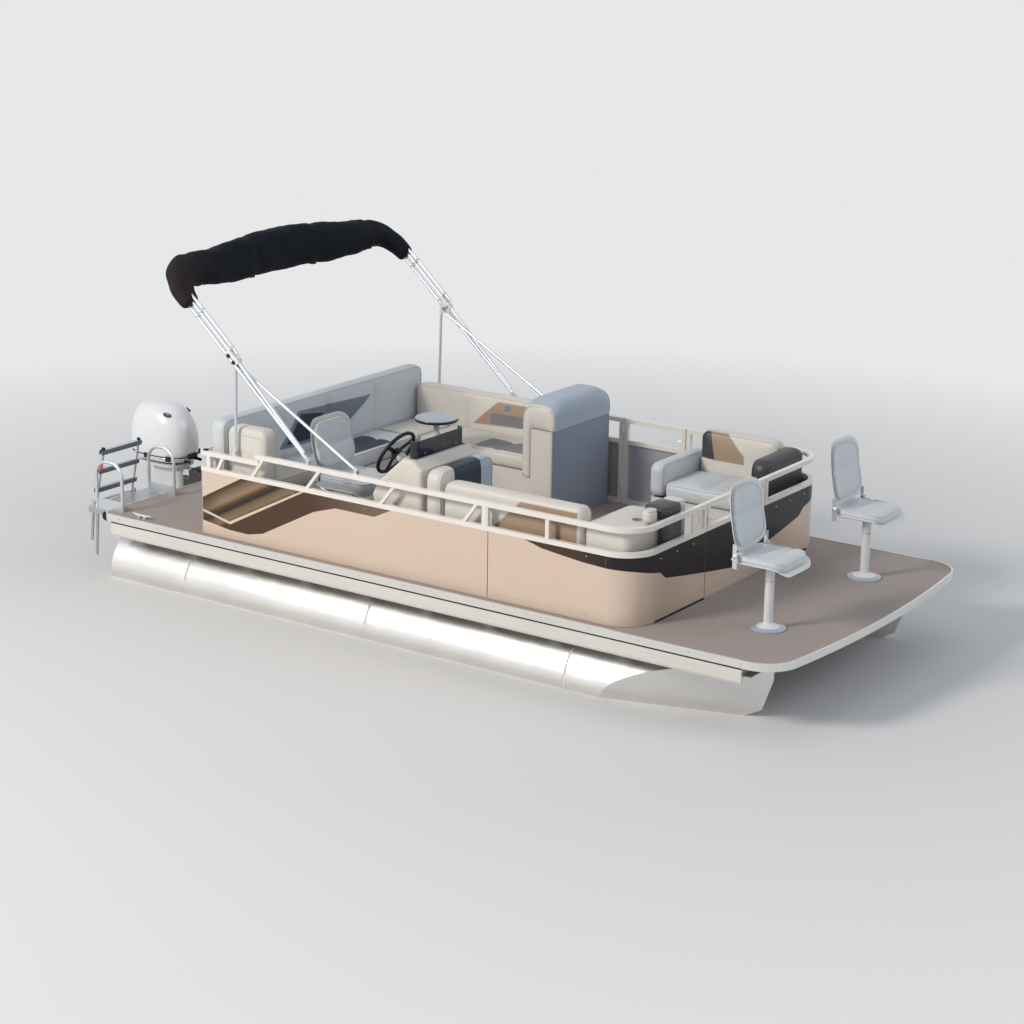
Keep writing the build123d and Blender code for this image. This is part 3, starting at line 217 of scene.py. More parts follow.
def paintFinish(name, colour, rough=0.34, coat=0.25, orangePeel=0.05):
    f = Finish(name)
    cloud = f.noise(3.5, 4)
    return f.surface(Base_Color=f.vary(cloud, colour, 0.955, 1.03), Roughness=cloud * 0.08 + (rough - 0.04),
                     Coat_Weight=coat, Coat_Roughness=0.12, Normal=f.bump(f.noise(240, 2), orangePeel, 0.0006))


def mouldedFinish(name, colour, rough=0.52, gloss=0.5):
    f = Finish(name)
    cloud = f.noise(2.6, 4)
    return f.surface(Base_Color=f.vary(cloud, colour, 0.94, 1.04), Roughness=cloud * 0.10 + (rough - 0.05),
                     Specular_IOR_Level=gloss, Normal=f.bump(f.texture('Voronoi', 420), 0.28, 0.0008))


# Grained vinyl. Panels are inserts with sewn edges, each an outline across two axes and its colour; with a front
# they lie only where x is above it.
def vinylFinish(name, colour, panels=(), axes="xy", front=None):
    f = Finish(name)
    across, up = (getattr(f, axis) for axis in axes)
    grain = f.texture('Voronoi', 300, (1, 1, 1), {"feature": 'DISTANCE_TO_EDGE'})
    cloud = f.noise(4.5, 4)
    crease = f.noise(26, 4, (1, 1, 1), 0.6)
    shade = f.vary(cloud, colour, 0.93, 1.03)
    seams = []
    for corners, panelColour in panels:
        depth = f.inside(across, up, corners)
        if front is not None:
            depth = depth & (f.x - front)
        shade = f.mix(f.step(depth), shade, f.vary(crease, panelColour, 0.90, 1.12))
        seams.append(f.step(0.0045 - abs(depth), 0.004))
    normal = f.bump(grain, 0.16, 0.0006, f.bump(crease, 0.18, 0.003))
    if seams:
        sewn = reduce(or_, seams)
        stitch = f.step(abs((f.x + f.y + f.z) % 0.009 - 0.0045) - 0.0018, 0.0012)
        normal = f.bump(sewn * (stitch * 0.25 + 0.75), -0.85, 0.004, normal)
        shade = f.mix(sewn * 0.35, shade, tone(colour, 0.55))
    return f.surface(Base_Color=shade, Roughness=cloud * 0.10 + 0.37, Specular_IOR_Level=0.34, Normal=normal)


# The accent vinyl is painted in two lights: a sunlit brown and, in shade, dark blues. The sky colour is the pale
# vinyl painted as lit by the sky alone, and the pale colour is a light grey with a painted blue tint of shade.
vinylColours = {
    "ivory": (0.66, 0.63, 0.58), "pale": (0.60, 0.63, 0.66), "navyShade": (0.018, 0.034, 0.062),
    "charcoal": (0.055, 0.056, 0.062), "tanSunlit": (0.36, 0.255, 0.18), "grey": (0.20, 0.20, 0.21),
    "slateShade": (0.17, 0.21, 0.27), "sky": (0.40, 0.47, 0.56),
}


def tubeAluminium():
    f = Finish("tubeAluminium")
    brushed = f.noise(42, 4, (0.25, 1, 1))
    cloud = f.noise(1.6, 4)
    stain = f.step(f.noise(5, 4, (0.4, 1, 1)) * 0.05 - (f.z - 0.045), 0.05)
    weld = f.step(0.006 - abs((f.x + 0.10) % 1.62 - 0.81), 0.004)
    shade = f.mix(cloud, (0.74, 0.74, 0.73, 1), (0.88, 0.88, 0.87, 1))
    shade = f.mix(stain * 0.45, shade, (0.44, 0.42, 0.37, 1))
    shade = f.mix(weld * 0.35, shade, (0.50, 0.50, 0.50, 1))
    beadWave = f.bands('Z', 40, (0, 1, 1))
    normal = f.bump(f.noise(2.4, 2), 0.35, 0.010, f.bump(weld * (beadWave * 0.4 + 0.6), 0.8, 0.006))
    return f.surface(Base_Color=shade, Metallic=0.82, Normal=normal,
                     Roughness=brushed * 0.16 + (cloud * 0.12 + (stain * 0.2 + 0.20)))


graphic = {                                  # side view, x and height above the deck
    "aft": [[(0.883, 0.100), (1.150, 0.065), (1.317, 0.062), (1.449, 0.091), (2.144, 0.454), (1.262, 0.454),
             (0.874, 0.246)],
            [(1.900, 0.327), (2.091, 0.386), (2.091, 0.456), (1.900, 0.456)],
            [(2.080, 0.386), (2.421, 0.385), (2.562, 0.454), (2.080, 0.456)]],
    "vee": [[(0.870, 0.169), (1.150, 0.108), (1.157, 0.124), (0.870, 0.186)],
            [(1.145, 0.109), (1.152, 0.105), (1.840, 0.463), (1.812, 0.463), (1.145, 0.124)]],
    "veeFoot": (1.150, 0.116), "veeAlong": (0.887, 0.461),
    "side": [(3.607, 0.458), (3.765, 0.416), (3.921, 0.398), (4.075, 0.382), (4.246, 0.374)],
    "front": [(0.0, 0.118), (0.353, 0.173), (0.654, 0.224), (0.883, 0.266), (0.948, 0.316), (1.158, 0.362),
              (1.238, 0.374)],
    "brown": (0.074, 0.041, 0.022), "black": (0.016, 0.015, 0.017), "light": (0.30, 0.20, 0.125),
    "line": (0.70, 0.56, 0.45),
    "corner": (4.246, 1.011, 0.2242),        # the fence's rounded bow corner: its centre's x and y, inner radius
    "inner": (0.885, 4.470, 1.2345),         # the fence's inner faces, painted grey-blue as shade: first x, last x, side
    "outerFrom": 1.10, "sideFrom": 3.6, "streakTall": 0.26,
    "brownFrom": (2.15, 0.55), "shadedFrom": (4.15, 0.30),      # x, and the length of the change; forward of the second x the front band turns black, painted as its shade
}


# The height of a graphic's lower edge, read from a table by a ramp
def edgeHeight(f, along, table):
    first, last = table[0][0], table[-1][0]
    stops = [((place - first) / (last - first), (high, high, high, 1)) for place, high in table]
    return f.node('ValToRGB', {"stops": stops}, {0: (along - first) / (last - first)})


# Panels in a warm peach, the low sun's tint painted into their beige, with the graphic outside, and inner faces
# painted grey-blue as shade
def panelSkin():
    f = Finish("panelSkin")
    g = graphic
    high = f.z - deckTop
    cloud = f.noise(1.2, 4)
    dust = f.step(f.noise(7, 5, (1, 1, 0.4)) * 0.10 - high, 0.08)
    # The panels' peach is their beige warmed as by the low sun: a painted sunlit tint
    shade = f.mix(cloud, (0.655, 0.525, 0.425, 1), (0.70, 0.565, 0.46, 1))
    shade = f.mix(dust * 0.30, shade, (0.46, 0.38, 0.31, 1))
    side = f.step(abs(f.y) - g["outerFrom"], 0.004)
    footX, footZ = g["veeFoot"]
    alongX, alongZ = g["veeAlong"]
    above = (high - footZ) * alongX - (f.x - footX) * alongZ
    (brownX, brownLong), (shadedX, shadedLong) = g["brownFrom"], g["shadedFrom"]
    brown = f.mix(f.step(f.x - brownX, brownLong) * 0.75, tone(g["brown"], 1), (0.21, 0.155, 0.115, 1))
    stops = [(0.0, "brown", 1), (0.10, "light", 0.75), (0.24, "light", 0.55), (0.34, "black", 1),
             (0.46, "brown", 1.1), (0.58, "light", 1.0), (0.80, "light", 0.5), (0.92, "brown", 0.7)]
    streaks = f.node('ValToRGB', {"stops": [(place, tone(g[shade], size)) for place, shade, size in stops]},
                     {0: above / g["streakTall"]})
    streaked = f.step(above, 0.004) * f.step(f.x - (footX - 0.20), 0.25)
    aft, vee = (reduce(or_, [f.inside(f.x, high, corners) for corners in g[key]]) for key in ("aft", "vee"))
    shade = f.mix(f.step(aft, 0.003) * side, shade, f.mix(streaked, brown, streaks))
    shade = f.mix(f.step(vee, 0.003) * side, shade, tone(g["line"], 1))
    cornerX, cornerY, cornerRound = g["corner"]
    onFront = f.step(f.x - cornerX)
    sideBand = f.step(high - edgeHeight(f, f.x, g["side"]), 0.003) * f.step(f.x - g["sideFrom"], 0.01) * side
    frontBand = f.step(high - edgeHeight(f, abs(f.y), g["front"]), 0.003)
    # The front band is one graphic painted in two lights: brown on the sunlit side, black on the shaded bow face
    dark = f.mix(f.step(f.x - shadedX, shadedLong), tone(g["brown"], 0.85), tone(g["black"], 1))
    shade = f.mix(sideBand * (1 - onFront) | frontBand * onFront, shade, dark)
    roundX, roundY = f.x - cornerX, abs(f.y) - cornerY
    beyond = f.step(roundX * roundX + (roundY * roundY - cornerRound ** 2), 0.0008)
    outside = f.step(roundX) * f.step(roundY) * beyond
    # Painted shade: the fence's inner faces, except the rounded corner's outer skin, turn grey-blue as if out of the
    # sun
    aftEnd, bowEnd, innerSide = g["inner"]
    shadedInner = f.step(innerSide - abs(f.y)) * f.step(bowEnd - f.x) * f.step(f.x - aftEnd)
    shade = f.mix(shadedInner * (1 - outside), shade, f.mix(cloud, (0.36, 0.385, 0.42, 1), (0.42, 0.445, 0.48, 1)))
    sheen = f.noise(14, 3, (1, 1, 3))
    ripple = f.noise(3.0, 2, (1, 1, 1.6))
    return f.surface(Base_Color=shade, Metallic=0.12, Specular_IOR_Level=0.28, Coat_Weight=0.10, Coat_Roughness=0.12,
                     Roughness=sheen * 0.06 + (cloud * 0.08 + (dust * 0.15 + 0.26)),
                     Normal=f.bump(ripple, 0.22, 0.008))


creamPair = (0.62, 0.585, 0.53, 1), (0.70, 0.665, 0.61, 1)


# A cream moulding with a second pair of colours where mask is 1
def twoTone(name, mask, second, rough):
    f = Finish(name)
    cloud = f.noise(2.6, 4)
    shade = f.mix(mask(f), f.mix(cloud, *creamPair), f.mix(cloud, *second))
    return f.surface(Base_Color=shade, Roughness=cloud * 0.1 + rough,
                     Normal=f.bump(f.texture('Voronoi', 420), 0.25, 0.0008))


def shadedBowFace(f):                              # the tall unit's bow face is painted blue-grey as shade, the rest cream
    return f.step(f.x - 2.7395, 0.003)


def consoleTray(f):                          # a blue-grey tray in the console's top
    return f.step(f.z - (deckTop + 0.786)) * f.step(0.285 - abs(f.y + 0.825)) * f.step(f.x - 2.595)


# White posts on blue-grey bases
def pedestalEnamel():
    f = Finish("pedestalEnamel")
    cloud = f.noise(3.5, 4)
    base = f.step(deckTop + 0.018 - f.z, 0.003)
    shade = f.mix(base, f.mix(cloud, (0.70, 0.71, 0.72, 1), (0.77, 0.78, 0.79, 1)),
                  f.mix(cloud, (0.30, 0.35, 0.42, 1), (0.38, 0.43, 0.50, 1)))
    return f.surface(Base_Color=shade, Roughness=cloud * 0.10 + 0.25, Coat_Weight=0.4, Coat_Roughness=0.12,
                     Normal=f.bump(f.noise(240, 2), 0.05, 0.0006))


def deckCover():
    f = Finish("deckCover")
    knit = f.bands('X', 260, (1, 1, 0)) * f.bands('Y', 260, (1, 1, 0))
    mottle = f.noise(90, 4)
    cloud = f.noise(0.9, 5)
    shade = f.mix(mottle, (0.29, 0.245, 0.23, 1), (0.44, 0.385, 0.36, 1))
    shade = f.mix(cloud * 0.35, shade, (0.33, 0.28, 0.26, 1))
    return f.surface(Base_Color=shade, Roughness=0.86,
                     Normal=f.bump(knit, 0.35, 0.0012, f.bump(mottle, 0.2, 0.001)))


def clothFinish(name, colour):
    f = Finish(name)
    warp = f.bands('DIAGONAL', 380, (1, 0, 1))
    weft = f.bands('Y', 380, (0, 1, 0))
    fade = f.noise(2.4, 5)
    shade = f.vary(fade, colour, 0.75, 1.45)
    # Browner in patches towards the starboard end
    starboardBrowning = f.step(-1.0 - f.y, 0.5) * f.noise(5, 4)
    shade = f.mix(starboardBrowning * 0.5, shade, (0.060, 0.036, 0.024, 1))
    return f.surface(Base_Color=shade, Roughness=0.80, Specular_IOR_Level=0.12,
                     Sheen_Weight=0.03, Sheen_Roughness=0.4,
                     Normal=f.bump(warp * weft, 0.35, 0.0008, f.bump(f.noise(38, 4), 0.3, 0.004)))


def smokedScreen():
    f = Finish("smokedScreen")
    shine = f.noise(6, 2)
    return f.surface(Base_Color=(0.012, 0.014, 0.022, 1), Roughness=shine * 0.05 + 0.05, Alpha=0.86, Coat_Weight=0.3)


def tableCover():
    f = Finish("tableCover")
    rise = f.step(f.z - (tableTop - 0.006), 0.003)
    cloud = f.noise(12, 5)
    shade = f.mix(rise, (0.02, 0.02, 0.022, 1), f.mix(cloud, (0.22, 0.27, 0.33, 1), (0.33, 0.38, 0.44, 1)))
    return f.surface(Base_Color=shade, Roughness=cloud * 0.1 + 0.22, Coat_Weight=0.4)


finishes = {
    "tube": tubeAluminium(),
    "frame": metalFinish("frameAluminium", (0.52, 0.53, 0.54), 0.42),
    "rail": paintFinish("railEnamel", (0.80, 0.765, 0.71), 0.30, 0.4),
    "trim": metalFinish("trimAluminium", (0.82, 0.81, 0.79), 0.32, (0.05, 1, 1), 0.70, 0.03),
    # The skirt's warm tint is sunlight painted into its aluminium
    "skirt": metalFinish("skirtAluminium", (0.80, 0.76, 0.71), 0.36, (0.05, 1, 1), 0.45),
    "panel": panelSkin(),
    "deck": deckCover(),
    "moulding": mouldedFinish("moulding", (0.68, 0.645, 0.59)),
    # The end unit's bow face takes the second pair of colours, a painted shade
    "endUnit": twoTone("endUnit", shadedBowFace, ((0.21, 0.245, 0.31, 1), (0.27, 0.31, 0.38, 1)), 0.42),
    "console": twoTone("consoleMoulding", consoleTray, ((0.30, 0.335, 0.39, 1),) * 2, 0.44),
    # The treads' blue-grey is their shade painted in
    "treadShadeBlue": mouldedFinish("treadShadeBlue", (0.15, 0.19, 0.24), 0.6),
    "orange": paintFinish("markOrange", (0.80, 0.16, 0.05)),
    "webbing": clothFinish("webbing", (0.012, 0.012, 0.014)),
    "dash": mouldedFinish("dashBlack", (0.012, 0.013, 0.018), 0.36, 0.3),
    "screen": smokedScreen(),
    "grip": mouldedFinish("gripBlack", (0.016, 0.016, 0.018), 0.48, 0.25),
    "pedestal": pedestalEnamel(),
    "table": tableCover(),
    # Bright tubes tinted blue, a painted reflection of the sky on them
    "bright": metalFinish("brightTube", (0.70, 0.73, 0.78), 0.40, metallic=0.85, dents=0.02),
    "boot": clothFinish("bootCloth", (0.0065, 0.0085, 0.014)),
    "motorWhite": paintFinish("motorWhite", (0.74, 0.76, 0.79), 0.22, 0.6, 0.02),
    "motorDark": paintFinish("motorDark", (0.022, 0.022, 0.025), 0.38, 0.3),
    "motorGrey": paintFinish("motorGrey", (0.58, 0.60, 0.62), 0.26, 0.6),
    "rubber": mouldedFinish("rubberBlack", (0.016, 0.016, 0.016), 0.7, 0.2),
    "steel": metalFinish("propellerSteel", (0.62, 0.62, 0.64), 0.22),
    "shell": mouldedFinish("shellWhite", (0.78, 0.76, 0.73), 0.36),
    "shellCream": mouldedFinish("shellCream", (0.64, 0.61, 0.56), 0.44),
    "vinyl": vinylFinish("vinylIvory", vinylColours["ivory"]),
    "vinylPale": vinylFinish("vinylPale", vinylColours["pale"]),
}

nodeFinish = {
    "tube": "pontoon_starboard pontoon_port",
    "frame": "cross_frame motor_pod boarding_platform",
    "rail": "rails_starboard rails_port rails_stern side_gate_frame bow_gate_frame",
    "trim": "deck_trim",
    "skirt": "side_skirts",
    "panel": "panels_starboard panels_port panels_stern side_gate_skin bow_gate_skin",
    "deck": "deck",
    "moulding": "lounge_bases corner_table",
    "console": "console",
    "endUnit": "lounge_end",
    "dash": "dash_panel",
    "screen": "windscreen",
    "grip": "steering_wheel",
    "pedestal": "pedestals",
    "table": "table_top",
    "bright": "boarding_handrails boarding_ladder top_bows top_feet top_rear_struts top_front_braces",
    "boot": "top_boot",
    "motorDark": "motor_clamp swivel_bracket powerhead",
    "motorGrey": "motor_leg",
    "motorWhite": "motor_cowl",
    "steel": "propeller",
    "vinyl": "helm_seat helm_back fishing_seat_starboard fishing_seat_port fishing_back_starboard "
             "fishing_back_port lounge_backs fixed_cushions lounge_end_cushion seat_stern seat_port "
             "seat_port_front seat_starboard_front",
}
for key, names in nodeFinish.items():
    for name in names.split():
        if nodes[name].data.materials:
            nodes[name].material_slots[0].material = finishes[key]
        else:
            nodes[name].data.materials.append(finishes[key])
print("finishes on the frame")


# Meshes: grids of rings, round tubes, turned forms and boxes

# A mesh riding on a body: smooth in one finish, or flat with a slot for each face
def makePiece(name, points, faces, used, body, slots=None):
    mesh = bpy.data.meshes.new(name)
    mesh.from_pydata([tuple(point) for point in points], [], faces)
    for finish in used:
        mesh.materials.append(finishes[finish])
    for index, face in enumerate(mesh.polygons):
        face.use_smooth = slots is None
        face.material_index = slots[index] if slots else 0
    mesh.validate()
    piece = newObject(name, mesh)
    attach(piece, body)
    return piece


def ringFaces(rings, around, capped=True):
    faces = []
    for ring in range(rings - 1):
        for step in range(around):
            a, b = ring * around + step, ring * around + (step + 1) % around
            faces.append((a, b, b + around, a + around))
    if capped:
        faces.append(tuple(reversed(range(around))))
        faces.append(tuple(range((rings - 1) * around, rings * around)))
    return faces


def circle(side, up, sides):
    return [side * cos(2 * pi * k / sides) + up * sin(2 * pi * k / sides) for k in range(sides)]


# Points and faces of a round tube along a line
def tubeMesh(points, radius, sides=8, closed=False):
    points = [Vector(point) for point in points]
    count = len(points)
    side = None
    rings = []
    for i, point in enumerate(points):
        before = points[i - 1] if i or closed else point
        after = points[(i + 1) % count] if i + 1 < count or closed else point
        along = (after - before).normalized()
        if side is None:
            side = along.orthogonal().normalized()
        side = (side - along * side.dot(along)).normalized()
        size = radius[i] if isinstance(radius, (list, tuple)) else radius
        rings += [point + spoke * size for spoke in circle(side, along.cross(side), sides)]
    faces = ringFaces(count, sides, not closed)
    if closed:
        last = (count - 1) * sides
        turn = min(range(sides), key=lambda k: (rings[k] - rings[last]).length)
        faces += [(last + k, last + (k + 1) % sides, (k + 1 + turn) % sides, (k + turn) % sides)
                  for k in range(sides)]
    return rings, faces


# Several meshes gathered into one piece, each with its finish
class Kit:
    def __init__(self):
        self.points, self.faces, self.slots, self.used = [], [], [], []

    def add(self, points, faces, finish):
        if finish not in self.used:
            self.used.append(finish)
        start = len(self.points)
        self.points += points
        self.faces += [tuple(start + index for index in face) for face in faces]
        self.slots += [self.used.index(finish)] * len(faces)

    def tube(self, points, radius, finish, sides=8, closed=False):
        self.add(*tubeMesh(points, radius, sides, closed), finish)

    def box(self, low, high, finish, bevel=0.0, turn=Matrix.Identity(3)):
        made = bmesh.new()
        bmesh.ops.create_cube(made, size=1)
        middle = (Vector(low) + Vector(high)) / 2
        span = Vector(high) - Vector(low)
        for vert in made.verts:
            vert.co = Vector(c * s for c, s in zip(vert.co, span))
        if bevel:
            bmesh.ops.bevel(made, geom=made.edges[:], offset=bevel, segments=2, profile=0.7, affect='EDGES')
        made.verts.index_update()
        self.add([turn @ vert.co + middle for vert in made.verts],
                 [[vert.index for vert in face.verts] for face in made.faces], finish)
        made.free()

    # A turned form: profile holds pairs of radius and place along the axis
    def disc(self, centre, axis, profile, finish, sides=24, capped=True):
        axis = Vector(axis).normalized()
        side = axis.orthogonal().normalized()
        spokes = circle(side, axis.cross(side), sides)
        points = [Vector(centre) + axis * along + spoke * radius for radius, along in profile for spoke in spokes]
        self.add(points, ringFaces(len(profile), sides, capped), finish)


# A line of straight runs with each inner corner turned into an arc
def roundedLine(corners, radii, steps=8):
    corners = [Vector(corner) for corner in corners]
    line = [corners[0]]
    for before, corner, after, radius in zip(corners, corners[1:], corners[2:], radii):
        back, ahead = (before - corner).normalized(), (after - corner).normalized()
        half = back.angle(ahead) / 2
        centre = corner + (back + ahead).normalized() * radius / sin(half)
        reach = radius / (sin(half) / cos(half))
        first, last = corner + back * reach - centre, corner + ahead * reach - centre
        line += [centre + first.slerp(last, step / steps).normalized() * first.length for step in range(steps + 1)]
    return line + [corners[-1]]


# Points at even steps along a line
def evenPoints(line, count):
    lengths = [0.0]
    for first, second in zip(line, line[1:]):
        lengths.append(lengths[-1] + (second - first).length)
    points, index = [], 0
    for step in range(count):
        reach = lengths[-1] * step / (count - 1)
        while index < len(line) - 2 and lengths[index + 1] < reach:
            index += 1
        run = lengths[index + 1] - lengths[index]
        points.append(line[index].lerp(line[index + 1], (reach - lengths[index]) / run if run else 0))
    return points


# A row read off a table at share, its first column, eased from row to row
def between(table, share):
    for first, second in zip(table, table[1:]):
        if share <= second[0]:
            step = max(0.0, min(1.0, (share - first[0]) / (second[0] - first[0])))
            ease = step * step * (3 - 2 * step)
            return [a + (b - a) * ease for a, b in zip(first[1:], second[1:])]
    return list(table[-1][1:])


# Cushions: a boxed pad, puffed by a cloth simulation that its seams hold in, with piping on the seams

padding = {
    "step": 0.024, "round": 0.030, "shrink": 0.005, "pipe": 0.0042, "sewnDepth": 0.009,
    "inward": (0.004, 0.004, 0.003), "outward": (0.004, 0.004, 0.014),
    "quickCrown": 0.010,                     # the stand-in's rise in the middle of a face
    "frames": 14, "quality": 4, "mass": 0.25, "pressure": 3.2, "stretch": 12, "bend": 0.8,
}


# A box's surface as a grid of quads, its plan corners and its upper and lower edges rounded
def padGrid(size, step, edgeRound, planRound):
    counts = [max(3, round(length / step)) for length in size]
    index, points, cells = {}, [], []

    def corner(key):
        if key not in index:
            index[key] = len(points)
            points.append(Vector(size[axis] * (key[axis] / counts[axis] - 0.5) for axis in range(3)))
        return index[key]

    for axis in range(3):
        a, b = [other for other in range(3) if other != axis]
        for end, i, j in product((0, counts[axis]), range(counts[a]), range(counts[b])):
            quad = []
            for di, dj in ((0, 0), (1, 0), (1, 1), (0, 1)):
                key = [end] * 3
                key[a], key[b] = i + di, j + dj
                quad.append(corner(tuple(key)))
            turned = (end > 0) == (axis != 1)
            cells.append(tuple(quad) if turned else tuple(reversed(quad)))
    half = [length / 2 for length in size]
    for point in points:
        inner = [max(-(half[a] - planRound), min(half[a] - planRound, point[a])) for a in (0, 1)]
        off = Vector((point.x - inner[0], point.y - inner[1]))
        if off.length > 1e-6:
            off = off.normalized() * max(abs(off.x), abs(off.y))
            point.x, point.y = inner[0] + off.x, inner[1] + off.y
            depth = planRound - off.length
            inward = -off.normalized()
        else:
            gaps = [half[0] - abs(point.x), half[1] - abs(point.y)]
            depth = min(gaps)
            if gaps[0] < gaps[1]:
                inward = Vector((-1 if point.x > 0 else 1, 0))
            else:
                inward = Vector((0, -1 if point.y > 0 else 1))
        drop = half[2] - abs(point.z)
        if depth < edgeRound and drop < edgeRound:
            off = Vector((depth - edgeRound, drop - edgeRound))
            off = off.normalized() * edgeRound
            shift = edgeRound + off.x - depth
            point.x += inward.x * shift
            point.y += inward.y * shift
            point.z = (half[2] - (edgeRound + off.y)) * (1 if point.z > 0 else -1)
    return points, cells, index, counts


def rimLoop(index, counts, level):
    nx, ny = counts[:2]
    ring = ([(i, 0) for i in range(nx)] + [(nx, j) for j in range(ny)] + [(i, ny) for i in range(nx, 0, -1)]
            + [(0, j) for j in range(ny, 0, -1)])
    return [index[i, j, level] for i, j in ring]


# A cushion of a size, its top towards local +Z. Channels are sewn lines as shares of one side, and pipes are the
# heights of its seams as shares of the whole.
def makePad(name, size, place, finish, body, edgeRound=padding["round"], planRound=None, channels=(), across=0,
            shape=None, pipes=(1,), crown=None):
    points, cells, index, counts = padGrid([length - 2 * padding["shrink"] for length in size], padding["step"],
                                           edgeRound, planRound or edgeRound * 1.3)
    top = counts[2]
    rows = [round(share * counts[across]) for share in channels]
    sewn = [number for key, number in index.items() if key[across] in rows and key[2] == top]
    held = {number for (i, j, k), number in index.items()
            if k == 0 or k == top and (i in (0, counts[0]) or j in (0, counts[1]))} | set(sewn)
    mesh = bpy.data.meshes.new(name)
    mesh.from_pydata([tuple(point) for point in points], [], cells)
    mesh.materials.append(finishes[finish])
    piece = newObject(name, mesh)
    puff(piece, points, held)
    if crown:
        for vert, point in zip(mesh.vertices, points):
            vert.co.z = min(vert.co.z, point.z + crown)
    for number in sewn:
        mesh.vertices[number].co.z -= padding["sewnDepth"]
    if shape:
        for vert in mesh.vertices:
            vert.co = shape(vert.co.copy())
    mesh.transform(place)
    seams = [[mesh.vertices[number].co.copy() for number in rimLoop(index, counts, share * top)]
             for share in pipes]
    soften(piece)
    addPiping(piece.data, seams)
    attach(piece, body)
    return piece


def puff(piece, rest, held):
    group = piece.vertex_groups.new(name="seams")
    group.add(sorted(held), 1.0, 'REPLACE')
    cloth = piece.modifiers.new("cloth", 'CLOTH')
    settings = cloth.settings
    settings.quality, settings.mass = padding["quality"], padding["mass"]
    settings.tension_stiffness = settings.compression_stiffness = padding["stretch"]
    settings.bending_stiffness = padding["bend"]
    settings.use_pressure = True
    settings.uniform_pressure_force = padding["pressure"]
    settings.effector_weights.gravity = 0
    settings.vertex_group_mass = group.name
    cloth.collision_settings.use_collision = False
    cloth.point_cache.frame_start, cloth.point_cache.frame_end = 1, padding["frames"]
    scene = bpy.context.scene
    for step in range(1, padding["frames"] + 1):
        scene.frame_set(step)
    shaped = piece.evaluated_get(bpy.context.evaluated_depsgraph_get())
    moved = [vert.co.copy() for vert in shaped.to_mesh().vertices]
    shaped.to_mesh_clear()
    piece.modifiers.remove(cloth)
    piece.vertex_groups.remove(group)
    for vert, point, target in zip(piece.data.vertices, rest, moved):
        vert.co = [place + max(-low, min(high, goal - place)) for place, goal, low, high in
                   zip(point, target, padding["inward"], padding["outward"])]
    scene.frame_set(1)


def soften(piece):
    made = piece.modifiers.new("soften", 'SUBSURF')
    made.levels = made.render_levels = 1
    mesh = bpy.data.meshes.new_from_object(piece.evaluated_get(bpy.context.evaluated_depsgraph_get()))
    piece.modifiers.clear()
    piece.data = mesh
    for face in mesh.polygons:
        face.use_smooth = True


def addPiping(mesh, seams):
    made = bmesh.new()
    made.from_mesh(mesh)
    for seam in seams:
        points, faces = tubeMesh(seam, padding["pipe"], 6, True)
        verts = [made.verts.new(point) for point in points]
        for face in faces:
            made.faces.new([verts[number] for number in face]).smooth = True
    made.to_mesh(mesh)
    made.free()


# The bench: where a cushion faces, by the directions of its length, its width and its top

facing = {
    "up": ((1, 0, 0), (0, 1, 0), (0, 0, 1)),
    "starboard": ((1, 0, 0), (0, 0, 1), (0, -1, 0)),
    "port": ((-1, 0, 0), (0, 0, 1), (0, 1, 0)),
    "bow": ((0, 1, 0), (0, 0, 1), (1, 0, 0)),
    "stern": ((0, -1, 0), (0, 0, 1), (-1, 0, 0)),
}


def boxPad(name, low, high, face, finish, body, **options):
    axes = [Vector(axis) for axis in facing[face]]
    low, high = Vector(low), Vector(high)
    size = [abs(axis.dot(high - low)) for axis in axes]
    place = Matrix.Translation((low + high) / 2) @ Matrix(axes).transposed().to_4x4()
    return makePad(name, size, place, finish, body, **options)


